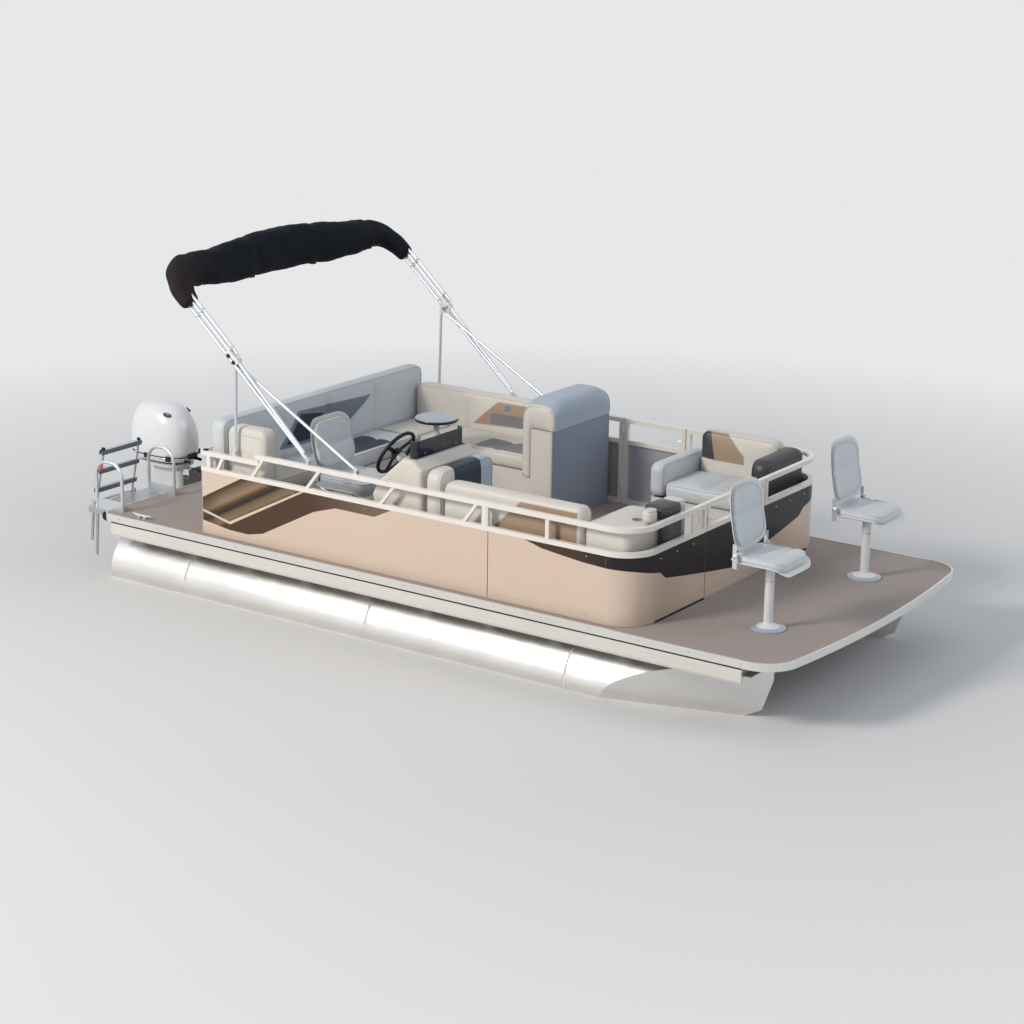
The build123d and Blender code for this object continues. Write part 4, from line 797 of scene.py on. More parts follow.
lowBack = {"planRound": 0.060, "edgeRound": 0.040}
arm = {"planRound": 0.080, "edgeRound": 0.050, "crown": 0.001}
benchPads = {                                # low, high, facing, finish, body, options
    "seatStern": ((1.061, -0.560, 0.795), (1.425, 0.560, 0.920), "up", "vinylStern", "lid_stern",
                  {"channels": (0.5,)}),
    "seatPort": ((1.431, 0.560, 0.795), (2.474, 1.019, 0.920), "up", "vinylSeatPort", "lid_port",
                 {"channels": (0.34, 0.67)}),
    "seatPortFront": ((3.585, 0.540, 0.795), (4.214, 1.019, 0.920), "up", "vinylSeatFront", "lid_port_front",
                      {"channels": (0.5,)}),
    "seatStarboardFront": ((2.920, -1.019, 0.795), (4.018, -0.540, 0.920), "up", "vinylSeatStarboard",
                           "lid_starboard_front", {"channels": (0.33, 0.66)}),
    "cornerSeatPort": ((1.061, 0.566, 0.795), (1.425, 1.019, 0.920), "up", "vinyl", "hull", {}),
    "cornerSeatStarboard": ((1.061, -1.019, 0.795), (1.425, -0.566, 0.920), "up", "vinyl", "hull", {}),
    "backStern": ((0.906, -1.165, 0.795), (1.046, 1.165, 1.310), "bow", "vinylBackStern", "hull",
                  {"channels": (0.27, 0.5, 0.73), "planRound": 0.075, "edgeRound": 0.042}),
    "backWing": ((1.061, -1.165, 0.795), (1.425, -1.025, 1.290), "port", "vinylWing", "hull",
                 {"planRound": 0.070, "edgeRound": 0.040}),
    "backPort": ((1.061, 1.025, 0.795), (2.474, 1.165, 1.190), "starboard", "vinylBackPort", "hull",
                 {"channels": (0.36,), **lowBack}),
    "backPortFront": ((3.585, 1.025, 0.795), (4.214, 1.165, 1.210), "starboard", "vinylBackPortFront", "hull",
                      lowBack),
    "backStarboardFront": ((2.920, -1.165, 0.795), (4.018, -1.025, 1.195), "port", "vinylBackStarboard", "hull",
                           lowBack),
    "restConsole": ((2.772, -1.165, 0.795), (2.914, -0.540, 1.250), "bow", "vinylRest", "hull",
                    {**arm, "edgeRound": 0.045}),
    "armBow": ((4.220, 0.600, 0.795), (4.364, 1.165, 1.180), "stern", "vinylBolster", "hull", arm),
    "armGate": ((3.455, 0.540, 0.795), (3.579, 1.165, 1.050), "bow", "vinylPale", "hull",
                {**arm, "planRound": 0.060, "edgeRound": 0.045}),
}
standsFor = {"seatStern": "seat_stern", "seatPort": "seat_port", "seatPortFront": "seat_port_front",
             "seatStarboardFront": "seat_starboard_front", "backStern": "lounge_backs",
             "restConsole": "fixed_cushions"}

sternFace = 0.960                            # inserts on the stern back lie on its front only
cushionColours = {                           # base colour, then inserts in the plane of two axes; the accent inserts are painted sunlit or shaded by where the light falls
    "vinylStern": ("pale", "xy", [([(1.10, -0.30), (1.39, -0.30), (1.39, 0.30), (1.10, 0.30)], "navyShade")]),
    "vinylSeatPort": ("ivory", "xy", [([(1.93, 0.60), (2.36, 0.60), (2.30, 0.83), (1.95, 0.80)], "grey")]),
    "vinylSeatFront": ("pale", "xy", []),
    "vinylSeatStarboard": ("ivory", "xy", [([(3.10, -0.92), (3.80, -0.92), (3.72, -0.66), (3.18, -0.66)], "tanSunlit")]),
    # The stern back's front faces the bow in shade: its inserts are the accent painted in shade
    "vinylBackStern": ("pale", "yz", [([(-0.56, 0.97), (0.10, 0.97), (0.50, 1.19), (-0.36, 1.22)], "slateShade"),
                                      ([(-0.50, 0.99), (-0.22, 0.99), (-0.06, 1.16), (-0.33, 1.20)], "navyShade")]),
    "vinylWing": ("ivory", "xz", [([(1.105, 0.86), (1.380, 0.86), (1.380, 1.225), (1.105, 1.225)], "ivory")]),
    # The port back's brown insert is the accent in sun; its grey blocks are painted shadows on it
    "vinylBackPort": ("ivory", "xz", [([(1.618, 0.953), (2.081, 0.973), (2.402, 1.147), (1.835, 1.141)], "tanSunlit"),
                                      ([(1.776, 0.968), (2.085, 0.976), (2.225, 1.070), (1.775, 1.059)], "grey"),
                                      ([(1.896, 1.077), (1.958, 1.086), (1.957, 1.133), (1.896, 1.126)], "grey"),
                                      ([(2.164, 1.090), (2.262, 1.096), (2.300, 1.138), (2.172, 1.134)], "grey")]),
    "vinylBackPortFront": ("ivory", "xz", [
        # Its slanted split is a painted shadow edge: the accent shaded on the aft part, sunlit on the fore part
        ([(3.60, 1.005), (3.721, 1.005), (3.674, 1.200), (3.60, 1.200)], "charcoal"),
        ([(3.721, 1.005), (3.954, 1.005), (3.951, 1.064), (3.805, 1.200), (3.674, 1.200)], "tanSunlit")]),
    "vinylBackStarboard": ("ivory", "xz", [([(3.30, 0.92), (3.975, 0.92), (3.975, 1.155), (3.54, 1.155)], "tanSunlit")]),
    # The console rest faces the bow in shade: its inserts are the accent and the pale vinyl painted in shade
    "vinylRest": ("ivory", "yz", [([(-1.02, 0.82), (-0.70, 0.82), (-0.70, 1.28), (-1.00, 1.28)], "navyShade"),
                                  ([(-0.70, 0.78), (-0.50, 0.78), (-0.50, 1.28), (-0.70, 1.28)], "sky")]),
    "vinylBolster": ("charcoal", "yz", []),
    # The hood is painted sky-blue where only the sky lights it, a painted shade, and ivory on its sunlit starboard
    # strip
    "vinylHood": ("sky", "xy", [([(2.40, 0.39), (2.80, 0.39), (2.80, 0.437), (2.40, 0.437)], "ivory")]),
}
for name, (colour, axes, inserts) in cushionColours.items():
    finishes[name] = vinylFinish(name, vinylColours[colour],
                                 [(corners, vinylColours[shade]) for corners, shade in inserts],
                                 axes, sternFace if name == "vinylBackStern" else None)
for name, (low, high, face, finish, body, options) in benchPads.items():
    pad = boxPad(name, low, high, face, finish, body, **options)
    if name in standsFor:
        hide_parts(standsFor[name])
print("bench cushions:", len(benchPads))


# The tall unit's hood: one pad bent up its aft side and over its top

hood = {"foot": (2.481, 0.797), "top": 1.358, "front": 2.748, "inner": (2.5505, 1.171), "rounds": (0.080, 0.085),
        "wide": (0.402, 1.163), "length": 0.80, "thick": 0.10, "trim": 0.010, "steps": 60}


def makeHood():
    (footX, footZ), (innerX, innerZ) = hood["foot"], hood["inner"]
    top, front, steps = hood["top"], hood["front"], hood["steps"]
    outer = evenPoints(roundedLine([(footX, 0, footZ), (footX, 0, top), (front, 0, top), (front, 0, innerZ)],
                                   hood["rounds"]), steps + 1)
    inner = evenPoints([Vector((innerX, 0, footZ)), Vector((innerX, 0, innerZ)), Vector((front, 0, innerZ))],
                       steps + 1)
    length, thick = hood["length"], hood["thick"]
    low, high = hood["wide"]

    def bent(point):
        share = max(0.0, min(1.0, point.x / (length - hood["trim"]) + 0.5)) * steps
        first = min(int(share), steps - 1)
        out = outer[first].lerp(outer[first + 1], share - first)
        core = inner[first].lerp(inner[first + 1], share - first)
        spot = core.lerp(out, point.z / (thick - hood["trim"]) + 0.5)
        return Vector((spot.x, (low + high) / 2 + point.y, spot.z))

    pad = makePad("endHood", (length, high - low, thick), Matrix(), "vinylHood", "hull", channels=(0.36,),
                  shape=bent, planRound=0.03)
    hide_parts("lounge_end_cushion")


makeHood()


# Chairs: a thin moulded shell under a pad, for the seat and for the leaning back

shellThick = 0.007
seatForm = {"round": 0.085, "side": 0.026, "rear": 0.030, "front": 0.030, "follow": 0.8, "inset": (0.05, 0.045),
            "padRound": 0.075, "padEdge": 0.022, "channels": (0.34, 0.66)}
backForm = {"round": 0.11, "side": 0.045, "ends": 0.018, "follow": 0.85, "inset": (0.05, 0.06),
            "padRound": 0.095, "padEdge": 0.020, "channels": (0.5,)}


# A sheet of points, rows by columns, given thickness towards its far side
def shellMesh(outline, thick):
    rows, columns = len(outline), len(outline[0])
    points = [point for row in outline for point in row]
    under, faces = [], []
    for i, j in product(range(rows), range(columns)):
        a = outline[min(i + 1, rows - 1)][j] - outline[max(i - 1, 0)][j]
        b = outline[i][min(j + 1, columns - 1)] - outline[i][max(j - 1, 0)]
        under.append(outline[i][j] - a.cross(b).normalized() * thick)
    count = rows * columns
    for i, j in product(range(rows - 1), range(columns - 1)):
        a = i * columns + j
        faces.append((a, a + columns, a + columns + 1, a + 1))
        faces.append((count + a, count + a + 1, count + a + columns + 1, count + a + columns))
    rim = ([(i, 0) for i in range(rows)] + [(rows - 1, j) for j in range(1, columns)]
           + [(i, columns - 1) for i in range(rows - 2, -1, -1)] + [(0, j) for j in range(columns - 2, 0, -1)])
    ring = [i * columns + j for i, j in rim]
    faces += [(a, count + a, count + b, b) for a, b in zip(ring, ring[1:] + ring[:1])]
    return points + under, faces


# A rounded rectangle of points about the origin, its rim lifted by rise(across, along)
def roundedSheet(wide, high, corner, rise, rows=15, columns=15):
    sheet = []
    for i in range(rows):
        line = []
        for j in range(columns):
            u, v = 2 * j / (columns - 1) - 1, 2 * i / (rows - 1) - 1
            x, y = u * wide / 2, v * high / 2
            overX, overY = abs(x) - (wide / 2 - corner), abs(y) - (high / 2 - corner)
            if overX > 0 and overY > 0:
                reach = max(overX, overY) / hypot(overX, overY)
                x = (wide / 2 - corner + overX * reach) * (1 if x > 0 else -1)
                y = (high / 2 - corner + overY * reach) * (1 if y > 0 else -1)
            line.append(Vector((x, y, rise(2 * x / wide, 2 * y / high))))
        sheet.append(line)
    return sheet


# A shell of a size and the pad on it, which follows the shell's rise in part
def shellAndPad(name, node, body, finish, form, size, trim, place, flip, rise, padPlace, padThick):
    wide, deep = size
    sheet = roundedSheet(wide - trim, deep - trim, form["round"], rise)
    points, faces = shellMesh([[place @ point for point in row] for row in sheet], shellThick)
    if flip:
        faces = [tuple(reversed(face)) for face in faces]
    shell = makePiece(name + "Shell", points, faces, [finish], body)
    soften(shell)

    def follow(point):
        point.z += rise(point.x / (wide / 2), point.y / (deep / 2)) * form["follow"]
        return point

    makePad(name + "Pad", (wide - form["inset"][0], deep - form["inset"][1], padThick), padPlace, "vinylPale", body,
            form["padEdge"], form["padRound"], form["channels"], 1, follow, (1, 0))
    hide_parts(node)


def makeSeat(name, node, body, finish, padThick):
    low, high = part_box(node)
    middle, top = (low + high) / 2, high.z - padThick
    wide, deep = high.y - low.y, high.x - low.x

    def rise(across, along):
        side = max(0.0, abs(across) - 0.55) / 0.45
        rear = max(0.0, -along - 0.55) / 0.45
        front = max(0.0, along - 0.6) / 0.4
        return seatForm["side"] * side ** 2 + seatForm["rear"] * rear ** 2 - seatForm["front"] * front ** 2

    def at(z):
        return Matrix.Translation((middle.x, middle.y, z)) @ Matrix.Rotation(-pi / 2, 4, 'Z')

    shellAndPad(name, node, body, finish, seatForm, (wide, deep), 0.004, at(top), False, rise,
                at(top + (padThick + 0.012) / 2), padThick + 0.008)


# low and high: x and z of the lower and upper ends of the back's rear face
def makeBack(name, node, body, finish, low, high, wide, padThick, y):
    foot, head = Vector((low[0], y, low[1])), Vector((high[0], y, high[1]))
    up = (head - foot).normalized()
    tall = (head - foot).length

    def rise(across, along):
        side = max(0.0, abs(across) - 0.35) / 0.65
        return backForm["side"] * side ** 2 + backForm["ends"] * along ** 2

    turn = Matrix((Vector((0, 1, 0)), up, Vector((up.z, 0, -up.x)))).transposed().to_4x4()
    place = Matrix.Translation((foot + head) / 2) @ turn
    shellAndPad(name, node, body, finish, backForm, (wide, tall), 0, place, True, rise,
                place @ Matrix.Translation((0, 0, padThick / 2)), padThick)


makeSeat("helmSeat", "helm_seat", "helm_chair", "shellCream", 0.085)
makeBack("helmBack", "helm_back", "helm_chair", "shellCream", (1.655, 0.975), (1.580, 1.350), 0.455, 0.060, -0.730)
for side, y in (("Starboard", -0.665), ("Port", 0.665)):
    low = side.lower()
    makeSeat("fishingSeat" + side, "fishing_seat_" + low, "fishing_chair_" + low, "shell", 0.055)
    makeBack("fishingBack" + side, "fishing_back_" + low, "chair_back_" + low, "shell",
             (4.912, 0.985), (4.842, 1.415), 0.415, 0.045, y)
print("chairs made")


# The canopy's boot: a stuffed sleeve along the folded bows, drawn in by its straps

boot = {"rings": 131, "around": 40, "off": 0.021, "shrink": 0.004,
        "straps": (-0.98, -0.36, 0.36, 0.98), "strapWide": 0.045, "drawn": 0.010, "drawnReach": 0.07,
        "fullAt": 0.12, "fullReach": 0.10, "fuller": 0.030, "lower": 0.014,
        "waves": (0.0022, 0.0022, 0.0014), "pleat": 0.003}
bootSections = [                             # share, depth, thickness, turn, sag
    (0.00, 0.128, 0.108, 0, 0), (0.015, 0.146, 0.126, 0, 0), (0.06, 0.172, 0.144, 0, -0.004),
    (0.09, 0.200, 0.154, 0, -0.018), (0.13, 0.228, 0.160, 6, -0.018), (0.17, 0.246, 0.166, 14, -0.008),
    (0.22, 0.270, 0.170, 22, 0.006), (0.33, 0.306, 0.182, 34, 0.020), (0.50, 0.320, 0.190, 40, 0.026),
]
topLean = radians(48)
topUp = Vector((-sin(topLean), 0, cos(topLean)))
topOut = Vector((cos(topLean), 0, sin(topLean)))
topFoot = Vector((1.850, 0, 1.162))
bowSide = 1.225


def onBow(along, y=0.0, off=0.0):
    return topFoot + topUp * along + topOut * off + Vector((0, y, 0))


bootPath = [(1.390, -bowSide), (1.620, -bowSide), (1.740, 0), (1.620, bowSide), (1.390, bowSide)]
bootLine = evenPoints(roundedLine([onBow(along, y, boot["off"]) for along, y in bootPath], [0.22, 3.0, 0.22], 16),
                      boot["rings"])


def flatten(value, power):
    return abs(value) ** power * (1 if value > 0 else -1)


# One ring round the boot's line, fuller near the starboard end, where the cloth hangs
def bootRing(index, grow=0.0, folds=True):
    last = len(bootLine) - 1
    share = index / last
    depth, thick, turn, sag = between(bootSections, min(share, 1 - share))
    full = max(0.0, 1 - abs(share - boot["fullAt"]) / boot["fullReach"])
    depth, sag = depth + boot["fuller"] * full, sag - boot["lower"] * full
    tangent = (bootLine[min(index + 1, last)] - bootLine[max(index - 1, 0)]).normalized()
    across = (topOut - tangent * topOut.dot(tangent)).normalized()
    down = tangent.cross(across)
    turn = radians(turn)
    tall = across * -sin(turn) + down * cos(turn)
    wide = across * cos(turn) + down * sin(turn)
    y = bootLine[index].y
    centre = bootLine[index] + tall * sag
    strapped = min(abs(y - place) for place in boot["straps"])
    drawn = boot["drawn"] * max(0.0, 1 - strapped / boot["drawnReach"]) ** 2
    ring = []
    for step in range(boot["around"]):
        angle = 2 * pi * step / boot["around"]
        c, s = cos(angle), sin(angle)
        fold = 0.0
        if folds:
            long, middle, short = boot["waves"]
            fold = (long * sin(9 * y + 3 * s + 1.7 * c) + middle * sin(17 * y + 4 * angle)
                    + short * sin(43 * y - 6 * angle + 2 * sin(9 * y))) * min(1.0, 0.2 + strapped / 0.09)
            fold += boot["pleat"] * max(0.0, 1 - strapped / 0.12) * sin(13 * angle)
        out = -boot["shrink"] - drawn + grow + fold
        ring.append(centre + tall * (flatten(c, 0.72) * (depth / 2 + out))
                    + wide * (flatten(s, 0.92) * (thick / 2 + out)))
    return ring


def makeBoot():
    points = [point for index in range(boot["rings"]) for point in bootRing(index)]
    sleeve = makePiece("bootSleeve", points, ringFaces(boot["rings"], boot["around"]), ["boot"], "folding_top")
    soften(sleeve)
    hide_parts("top_boot")


makeBoot()
print("boot made")


# Small parts: everything below rides on a body and stands on the frame's own surfaces

parts = {}
tip = 0.001                                  # where a turned form closes
bead = [(tip, 0), (0.0055, 0.0005), (0.004, 0.0025), (tip, 0.003)]


# The profile of a short cylinder with a bevelled top
def knob(foot, wide, shoulder, narrow, top):
    return [(tip, foot), (wide, foot), (wide, shoulder), (narrow, top), (tip, top)]


def part(body):
    if body not in parts:
        parts[body] = Kit()
    return parts[body]


# A box about a middle, reaching half its size each way
def block(body, middle, half, finish, bevel, turn=Matrix.Identity(3)):
    middle, half = Vector(middle), Vector(half)
    part(body).box(middle - half, middle + half, finish, bevel, turn)


# A flat band around the boot, with its buckle
def strap(place):
    middle = min(range(boot["rings"]), key=lambda i: abs(bootLine[i].y - place))
    ring = bootRing(middle, 0.0025, False)
    tangent = (bootLine[middle + 1] - bootLine[middle - 1]).normalized()
    band = [point + tangent * side for side in (-boot["strapWide"] / 2, boot["strapWide"] / 2) for point in ring]
    kit = part("folding_top")
    kit.add(band, ringFaces(2, boot["around"], False), "webbing")
    low = min(ring, key=lambda point: point.z)
    kit.box(low - Vector((0.016, 0.022, 0.012)), low + Vector((0.016, 0.022, 0.006)), "grip", 0.003)


for place in boot["straps"]:
    strap(place)


# The motor's cowl, a domed egg in place of the plain one

cowlRings = [                                # height, aft end, fore end, width, roundness
    (0.531, -0.799, -0.346, 0.296, 3.0), (0.560, -0.818, -0.330, 0.318, 2.9), (0.600, -0.846, -0.306, 0.346, 2.8),
    (0.655, -0.860, -0.300, 0.364, 2.7), (0.710, -0.864, -0.299, 0.370, 2.6), (0.770, -0.863, -0.304, 0.368, 2.5),
    (0.830, -0.855, -0.320, 0.356, 2.4), (0.875, -0.840, -0.343, 0.334, 2.3), (0.915, -0.820, -0.370, 0.304, 2.2),
    (0.946, -0.795, -0.402, 0.264, 2.2), (0.969, -0.765, -0.438, 0.212, 2.1), (0.985, -0.725, -0.482, 0.146, 2.1),
    (0.993, -0.670, -0.540, 0.070, 2.0),
]
ventRows = [(1.0, -0.010), (1.0, 0.004), (0.86, 0.0055), (0.78, 0.0015), (0.05, 0.0)]


def cowlRing(height, grow=0.0, sides=40):
    aft, fore, wide, power = between(cowlRings, height)
    ring = []
    for step in range(sides):
        angle = 2 * pi * step / sides
        c, s = cos(angle), sin(angle)
        size = (abs(c) ** power + abs(s) ** power) ** (-1 / power)
        x = (aft + fore) / 2 + c * size * ((fore - aft) / 2 + grow)
        ring.append(Vector((x, s * size * (wide / 2 + grow), height)))
    return ring


# A dark oval opening high on the cowl's side
def cowlVent(kit, side):
    near = min(cowlRing(0.918, 0.0, 160), key=lambda point: (point - Vector((-0.425, side * 0.15, 0.918))).length)
    out = Vector((0.30, side * 0.80, 0.62)).normalized()
    along = (Vector((1, 0, 0)) - out * out.x).normalized()
    spokes = circle(along * 0.033, out.cross(along) * 0.017, 24)
    kit.add([near + out * off + spoke * size for size, off in ventRows for spoke in spokes],
            ringFaces(len(ventRows), 24), "motorDark")


def makeCowl():
    points = [point for row in cowlRings for point in cowlRing(row[0])]
    cowl = makePiece("cowlDome", points, ringFaces(len(cowlRings), 40), ["motorWhite"], "motor")
    soften(cowl)
    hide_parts("motor_cowl")
    kit = part("motor")
    kit.tube(cowlRing(0.592, 0.0015), 0.004, "rubber", 6, True)
    kit.tube(cowlRing(0.584, 0.0025), 0.005, "motorWhite", 6, True)
    for side in (-1, 1):
        for x in (-0.40, -0.62):
            block("motor", (x, side * 0.171, 0.587), (0.022, 0.008, 0.019), "grip", 0.003)
        cowlVent(kit, side)
    kit.box((-0.312, -0.045, 0.575), (-0.290, 0.045, 0.615), "grip", 0.004)
    kit.tube([(-0.42, 0.05, 0.560), (-0.31, 0.065, 0.560), (-0.275, 0.065, 0.556)], 0.013, "rubber")
    kit.tube([(-0.42, -0.03, 0.558), (-0.32, -0.050, 0.558), (-0.285, -0.050, 0.554)], 0.009, "rubber")


makeCowl()


# Chairs: the turning plate and lever under each seat, and the brackets that carry its back

for body, x, y, low, high in (("helm_chair", 1.870, -0.730, 0.776, 0.866),
                              ("fishing_chair_starboard", 5.100, -0.665, 0.806, 0.912),
                              ("fishing_chair_port", 5.100, 0.665, 0.806, 0.912)):
    kit, tall = part(body), high - low
    kit.disc((x, y, low), (0, 0, 1), [(tip, 0), (0.030, 0), (0.030, tall - 0.008), (0.088, tall - 0.006),
                                      (0.088, tall), (tip, tall)], "pedestal", 28)
    kit.tube([(x + 0.03, y + 0.02, high - 0.012), (x + 0.06, y + 0.16, high - 0.014),
              (x + 0.06, y + 0.21, high - 0.016)], 0.006, "bright")
    kit.disc((x + 0.06, y + 0.205, high - 0.016), (0, 1, 0),
             [(tip, 0), (0.011, 0.003), (0.011, 0.030), (tip, 0.034)], "grip", 12)
for side in (-1, 1):
    y = -0.730 + side * 0.150
    part("helm_chair").tube([(1.780, y, 0.862), (1.700, y, 0.866), (1.655, y, 0.885), (1.634, y, 0.960),
                             (1.622, y, 1.070)], 0.010, "bright")
    for name, middle in (("starboard", -0.665), ("port", 0.665)):
        outer, inner = middle + side * 0.208, middle + side * 0.199
        block("fishing_chair_" + name, (4.960, outer, 0.9505), (0.016, 0.004, 0.0455), "bright", 0.002)
        block("chair_back_" + name, (4.952, inner, 1.016), (0.014, 0.003, 0.044), "bright", 0.001)
        part("fishing_chair_" + name).disc((4.960, outer + side * 0.004, 0.982), (0, side, 0),
                                           knob(-0.016, 0.011, 0.003, 0.007, 0.006), "bright", 12)


# The canopy's frame: an upper bow beside the pair, clamps, knobs and the struts' upper brackets

kit, rear, front = part("folding_top"), part("rear_struts"), part("front_braces")
for side in (-1, 1):
    y = side * bowSide
    kit.tube([onBow(0.868, y, 0.058), onBow(0.895, y, 0.080), onBow(1.330, y, 0.080),
              onBow(1.440, y - side * 0.004, 0.066)], 0.0110, "bright", 10)
    block("folding_top", onBow(0.900, y, 0.040), (0.016, 0.019, 0.060), "shell", 0.004,
          Matrix.Rotation(-topLean, 3, 'Y'))
    for along in (0.955, 1.300):
        kit.tube([onBow(along, y, -0.004), onBow(along, y, 0.088)], 0.0145, "bright")
    for along in (0.870, 0.930):
        kit.disc(onBow(along, y + side * 0.018, 0.020), (0, side, 0), knob(-0.004, 0.013, 0.010, 0.009, 0.014),
                 "grip", 10)
    y = side * 1.188
    rear.tube([(1.189, y, 1.746), (1.190, y, 1.762), (1.215, y, 1.772), (1.232, y, 1.770)], 0.0105, "bright")
    rear.disc((1.1895, y, 1.735), (0.02, 0, 1), [(0.0135, -0.03), (0.0150, -0.03), (0.0150, 0.02), (0.0135, 0.02)],
              "shell", 12)
    for hinge, x, z in ((rear, 1.175, 1.118), (front, 2.235, 1.150)):
        hinge.disc((x, y - side * 0.008, z), (0, -side, 0),
                   [(tip, 0.0), (0.008, 0.0), (0.008, 0.006), (tip, 0.008)], "steel", 10)


# The helm: dials, switches, key, lever and the screen's foot

dash = {"at": (2.475, -0.825, 1.185), "normal": (-0.190, 0, 0.210), "up": (0.210, 0, 0.190), "skin": 0.0075,
        "dials": (-0.195, -0.065, 0.065, 0.195), "needles": (215, 120, 165, 200),
        "ticks": 11, "firstTick": 225, "tickTurn": 27, "keyAt": (0.255, -0.075)}
dashNormal, dashUp = Vector(dash["normal"]).normalized(), Vector(dash["up"]).normalized()
dashAt = Vector(dash["at"]) + dashNormal * dash["skin"]
kit = part("hull")


def onDash(across, up, off=0.0):
    return dashAt + Vector((0, across, 0)) + dashUp * up + dashNormal * off


# A flat plate on the dash, its corners as across and up
def dashPlate(corners, low, high, finish):
    kit.add([onDash(u, v, off) for off in (low, high) for u, v in corners], ringFaces(2, len(corners)), finish)


# A plate on a dial, its corners as reach along a direction and side from it
def dashMark(centre, degrees, corners, low, high, finish):
    c, s = cos(radians(degrees)), sin(radians(degrees))
    dashPlate([(centre + c * reach - s * side, s * reach + c * side) for reach, side in corners],
              low, high, finish)


def dashBlock(left, right, low, high, foot, top, finish):
    dashPlate([(left, low), (right, low), (right, high), (left, high)], foot, top, finish)


for across, needle in zip(dash["dials"], dash["needles"]):
    kit.disc(onDash(across, 0), dashNormal, [(tip, 0), (0.0352, 0), (0.0352, 0.0022), (tip, 0.0022)], "grip", 28)
    kit.disc(onDash(across, 0), dashNormal, [(0.0362, 0.0), (0.0362, 0.0045), (0.0430, 0.0068), (0.0445, 0.0030),
                                             (0.0445, 0.0), (0.0362, 0.0)], "bright", 28, capped=False)
    for tick in range(dash["ticks"]):
        inner, half = (0.0245, 0.0006) if tick % 5 else (0.0215, 0.0010)
        dashMark(across, dash["firstTick"] - tick * dash["tickTurn"],
                 [(inner, -half), (0.0305, -half), (0.0305, half), (inner, half)], 0.0021, 0.0027, "shell")
    dashMark(across, needle, [(-0.006, -0.001), (0.024, 0), (-0.006, 0.001)], 0.0028, 0.0034, "orange")
    kit.disc(onDash(across, 0), dashNormal, [(tip, 0.002), (0.004, 0.002), (0.004, 0.0042), (tip, 0.0046)],
             "motorDark", 12)
for number in range(5):
    across = -0.255 + number * 0.036
    dashBlock(across, across + 0.026, -0.088, -0.066, 0.0, 0.003, "motorDark")
    dashBlock(across + 0.005, across + 0.021, -0.086, -0.076, 0.003, 0.009, "grip")
keyX, keyUp = dash["keyAt"]
kit.disc(onDash(keyX, keyUp), dashNormal, knob(0, 0.014, 0.004, 0.007, 0.006), "bright", 16)
kit.tube([onDash(keyX, keyUp, 0.004), onDash(keyX, keyUp, 0.026)], 0.002, "bright", 6)
kit.tube([onDash(keyX, keyUp - 0.013, 0.028), onDash(keyX, keyUp + 0.013, 0.028)], 0.006, "grip")
kit.box((2.455, -0.500, 1.035), (2.560, -0.482, 1.155), "grip", 0.006)
kit.disc((2.508, -0.482, 1.095), (0, 1, 0), [(tip, 0), (0.032, 0), (0.030, 0.014), (tip, 0.016)], "motorDark", 20)
kit.tube([(2.508, -0.470, 1.095), (2.488, -0.462, 1.170), (2.466, -0.470, 1.262)],
         [0.009, 0.0075, 0.0075], "bright")
kit.tube([(2.468, -0.484, 1.264), (2.466, -0.425, 1.268)], 0.013, "grip", 10)
kit.box((2.612, -1.097, 1.279), (2.662, -0.553, 1.2835), "grip", 0.001)
for y in (-1.00, -0.65):
    kit.disc((2.6585, y, 1.302), (1, 0, 0), [(tip, 0.0), (0.006, 0.0), (0.005, 0.004), (tip, 0.005)], "steel", 10)


# Bow cushions on and beside the corner table, and the cup's liner

bowPads = {                                  # low, high, finish, plan round, edge round
    "cornerCream": ((4.308, -0.962, 1.1015), (4.404, -0.852, 1.200), "vinyl", 0.04032, 0.026),
    "cornerDark": ((4.246, -0.842, 1.1015), (4.436, -0.606, 1.196), "vinylBolster", 0.045, 0.038),
    "cornerFront": ((4.370, -0.842, 0.860), (4.436, -0.606, 1.094), "vinylBolster", 0.02772, 0.026),
    "cornerEnd": ((4.232, -0.594, 0.820), (4.404, -0.508, 1.186), "vinylPale", 0.045, 0.038),
}
for name, (low, high, finish, planRound, edgeRound) in bowPads.items():
    boxPad(name, low, high, "up", finish, "hull", planRound=planRound, edgeRound=edgeRound)
kit.disc((4.254, -0.885, 1.0995), (0, 0, 1), [(0.0385, -0.055), (0.0400, 0.0), (0.0490, 0.0015), (0.0490, 0.0030),
                                              (0.0380, 0.0035), (0.0370, -0.055)], "bright", 28)


# The deck's edge: the dark insert of its groove, screws, cleats, rubber feet and the platform's end

for side in (-1, 1):
    low, high = sorted((side * 1.2868, side * 1.2955))
    kit.box((0.072, low, 0.4286), (5.265, high, 0.4412), "rubber")
    for number in range(15):
        kit.disc((0.16 + number * 0.365, side * 1.3040, 0.470), (0, side, 0),
                 [(tip, 0), (0.0065, 0.0005), (0.0045, 0.003), (tip, 0.004)], "steel", 10)
for x, y in ((0.075, 1.190), (0.330, -1.245)):
    for step in (-0.028, 0.028):
        block("hull", (x + step, y, 0.501), (0.010, 0.011, 0.013), "bright", 0.003)
    kit.tube([(x - 0.088, y, 0.523), (x - 0.050, y, 0.516), (x, y, 0.514), (x + 0.050, y, 0.516),
              (x + 0.088, y, 0.523)], [0.005, 0.0085, 0.010, 0.0085, 0.005], "bright", 10)
kit.disc((-0.020, -1.248, 0.452), (0, -1, 0), knob(-0.01, 0.034, 0.006, 0.028, 0.012), "grip", 20)
for y in (-1.00, 0.400):
    kit.box((4.4755, y, 0.4895), (4.4830, y + 0.60, 0.4990), "rubber")
for x, z in product((1.10, 1.72, 2.34, 2.96, 3.58, 4.10), (0.532, 0.915)):
    kit.disc((x, -1.2375, z), (0, -1, 0), bead, "steel", 8)
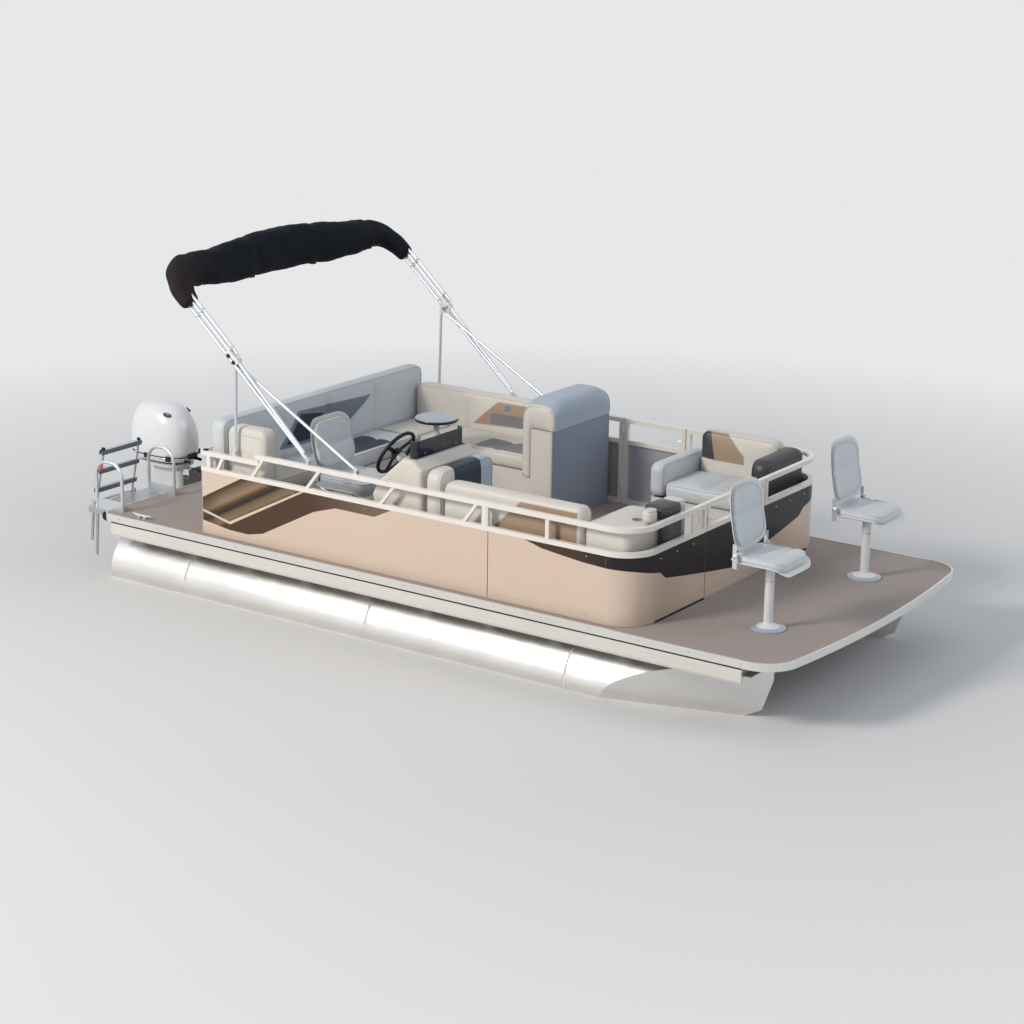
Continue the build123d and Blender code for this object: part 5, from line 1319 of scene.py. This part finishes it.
for y, z in product((-0.95, -0.75, -0.55, 0.55, 0.75, 0.95), (0.532, 0.900)):
    kit.disc((4.4735, y, z), (1, 0, 0), bead, "steel", 8)
kit.disc((0.930, -1.222, 1.092), (0, 0, 1), knob(0, 0.020, 0.006, 0.012, 0.010), "grip", 16)


# The ladder: cushioned treads, caps, and the marked stile

ladderLean = radians(12)
ladderFoot = Vector((-0.237, 0, 0.498))
ladderUp = Vector((sin(ladderLean), 0, cos(ladderLean)))
ladderOut = Vector((-cos(ladderLean), 0, sin(ladderLean)))
treadCorners = [(-0.017, -1.145), (0.017, -1.145), (0.017, -0.725), (-0.017, -0.725)]
rung = part("ladder")


def onLadder(up, y, out=0.0):
    return ladderFoot + ladderUp * up + ladderOut * out + Vector((0, y, 0))


# Treads in the painted-shade blue-grey
for step in range(3):
    for hand in (-1, 1):
        rung.add([onLadder(0.390 - 0.150 * step + up, y, hand * out) for out in (0.0110, 0.0150)
                  for up, y in treadCorners], ringFaces(2, 4), "treadShadeBlue")
for y in (-1.120, -0.750):
    rung.disc(onLadder(0.420, y), ladderUp,
              [(0.0131, -0.030), (0.0142, -0.028), (0.0142, 0.002), (0.010, 0.006), (tip, 0.006)], "grip", 16)
rung.disc(onLadder(0.275, -1.120), ladderUp,
          [(0.0128, -0.024), (0.0134, -0.022), (0.0134, 0.022), (0.0128, 0.024)], "orange", 16)


# Gates: a latch on each free edge

part("bow_gate").box((4.452, -0.382, 0.985), (4.474, -0.352, 1.045), "grip", 0.004)
part("bow_gate").tube([(4.474, -0.365, 1.020), (4.487, -0.350, 1.022), (4.489, -0.310, 1.024)], 0.005, "bright")
part("side_gate").box((3.318, 1.226, 0.985), (3.352, 1.244, 1.045), "grip", 0.004)
part("side_gate").tube([(3.330, 1.244, 1.020), (3.315, 1.254, 1.022), (3.275, 1.256, 1.024)], 0.005, "bright")

for body, made in parts.items():
    makePiece("parts_" + body, made.points, made.faces, made.used, body, made.slots)


# The floor and the sky, pale for the camera, with a floor grey enough near the boat to take a shadow

def makeFloor():
    f = Finish("studioFloor")
    soft = f.node('BsdfDiffuse', {}, {"Color": stage["floorColour"]})
    pale = f.node('Emission', {}, {"Color": stage["paleColour"], "Strength": 1.0})
    far = f.node('VectorMath', {"operation": 'DISTANCE'}, {0: f.place, 1: (stage["aim"][0], 0, 0)}, "Value")
    seen = f.rays()
    away = f.step(far - stage["shadowReach"], stage["shadowFade"])
    f.node('OutputMaterial', {}, {"Surface": f.node('MixShader', {}, {0: seen * away, 1: soft, 2: pale})}, None)
    mesh = bpy.data.meshes.new("studioFloor")
    half = stage["floorSize"] / 2
    mesh.from_pydata([(-half, -half, 0), (half, -half, 0), (half, half, 0), (-half, half, 0)], [], [(0, 1, 2, 3)])
    mesh.materials.append(f.material)
    floor = newObject("studioFloor", mesh)


def makeSky():
    sky = Finish("studioSky", bpy.data.worlds.new("studioSky"))
    light = sky.node('Background', {}, {"Color": stage["skyColour"], "Strength": stage["skyStrength"]})
    pale = sky.node('Background', {}, {"Color": stage["paleColour"], "Strength": 1.0})
    sky.node('OutputWorld', {}, {"Surface": sky.node('MixShader', {}, {0: sky.rays(), 1: light, 2: pale})}, None)
    bpy.context.scene.world = sky.material


makeFloor()
makeSky()
print("floor and sky placed")


# The end

print("scene built")
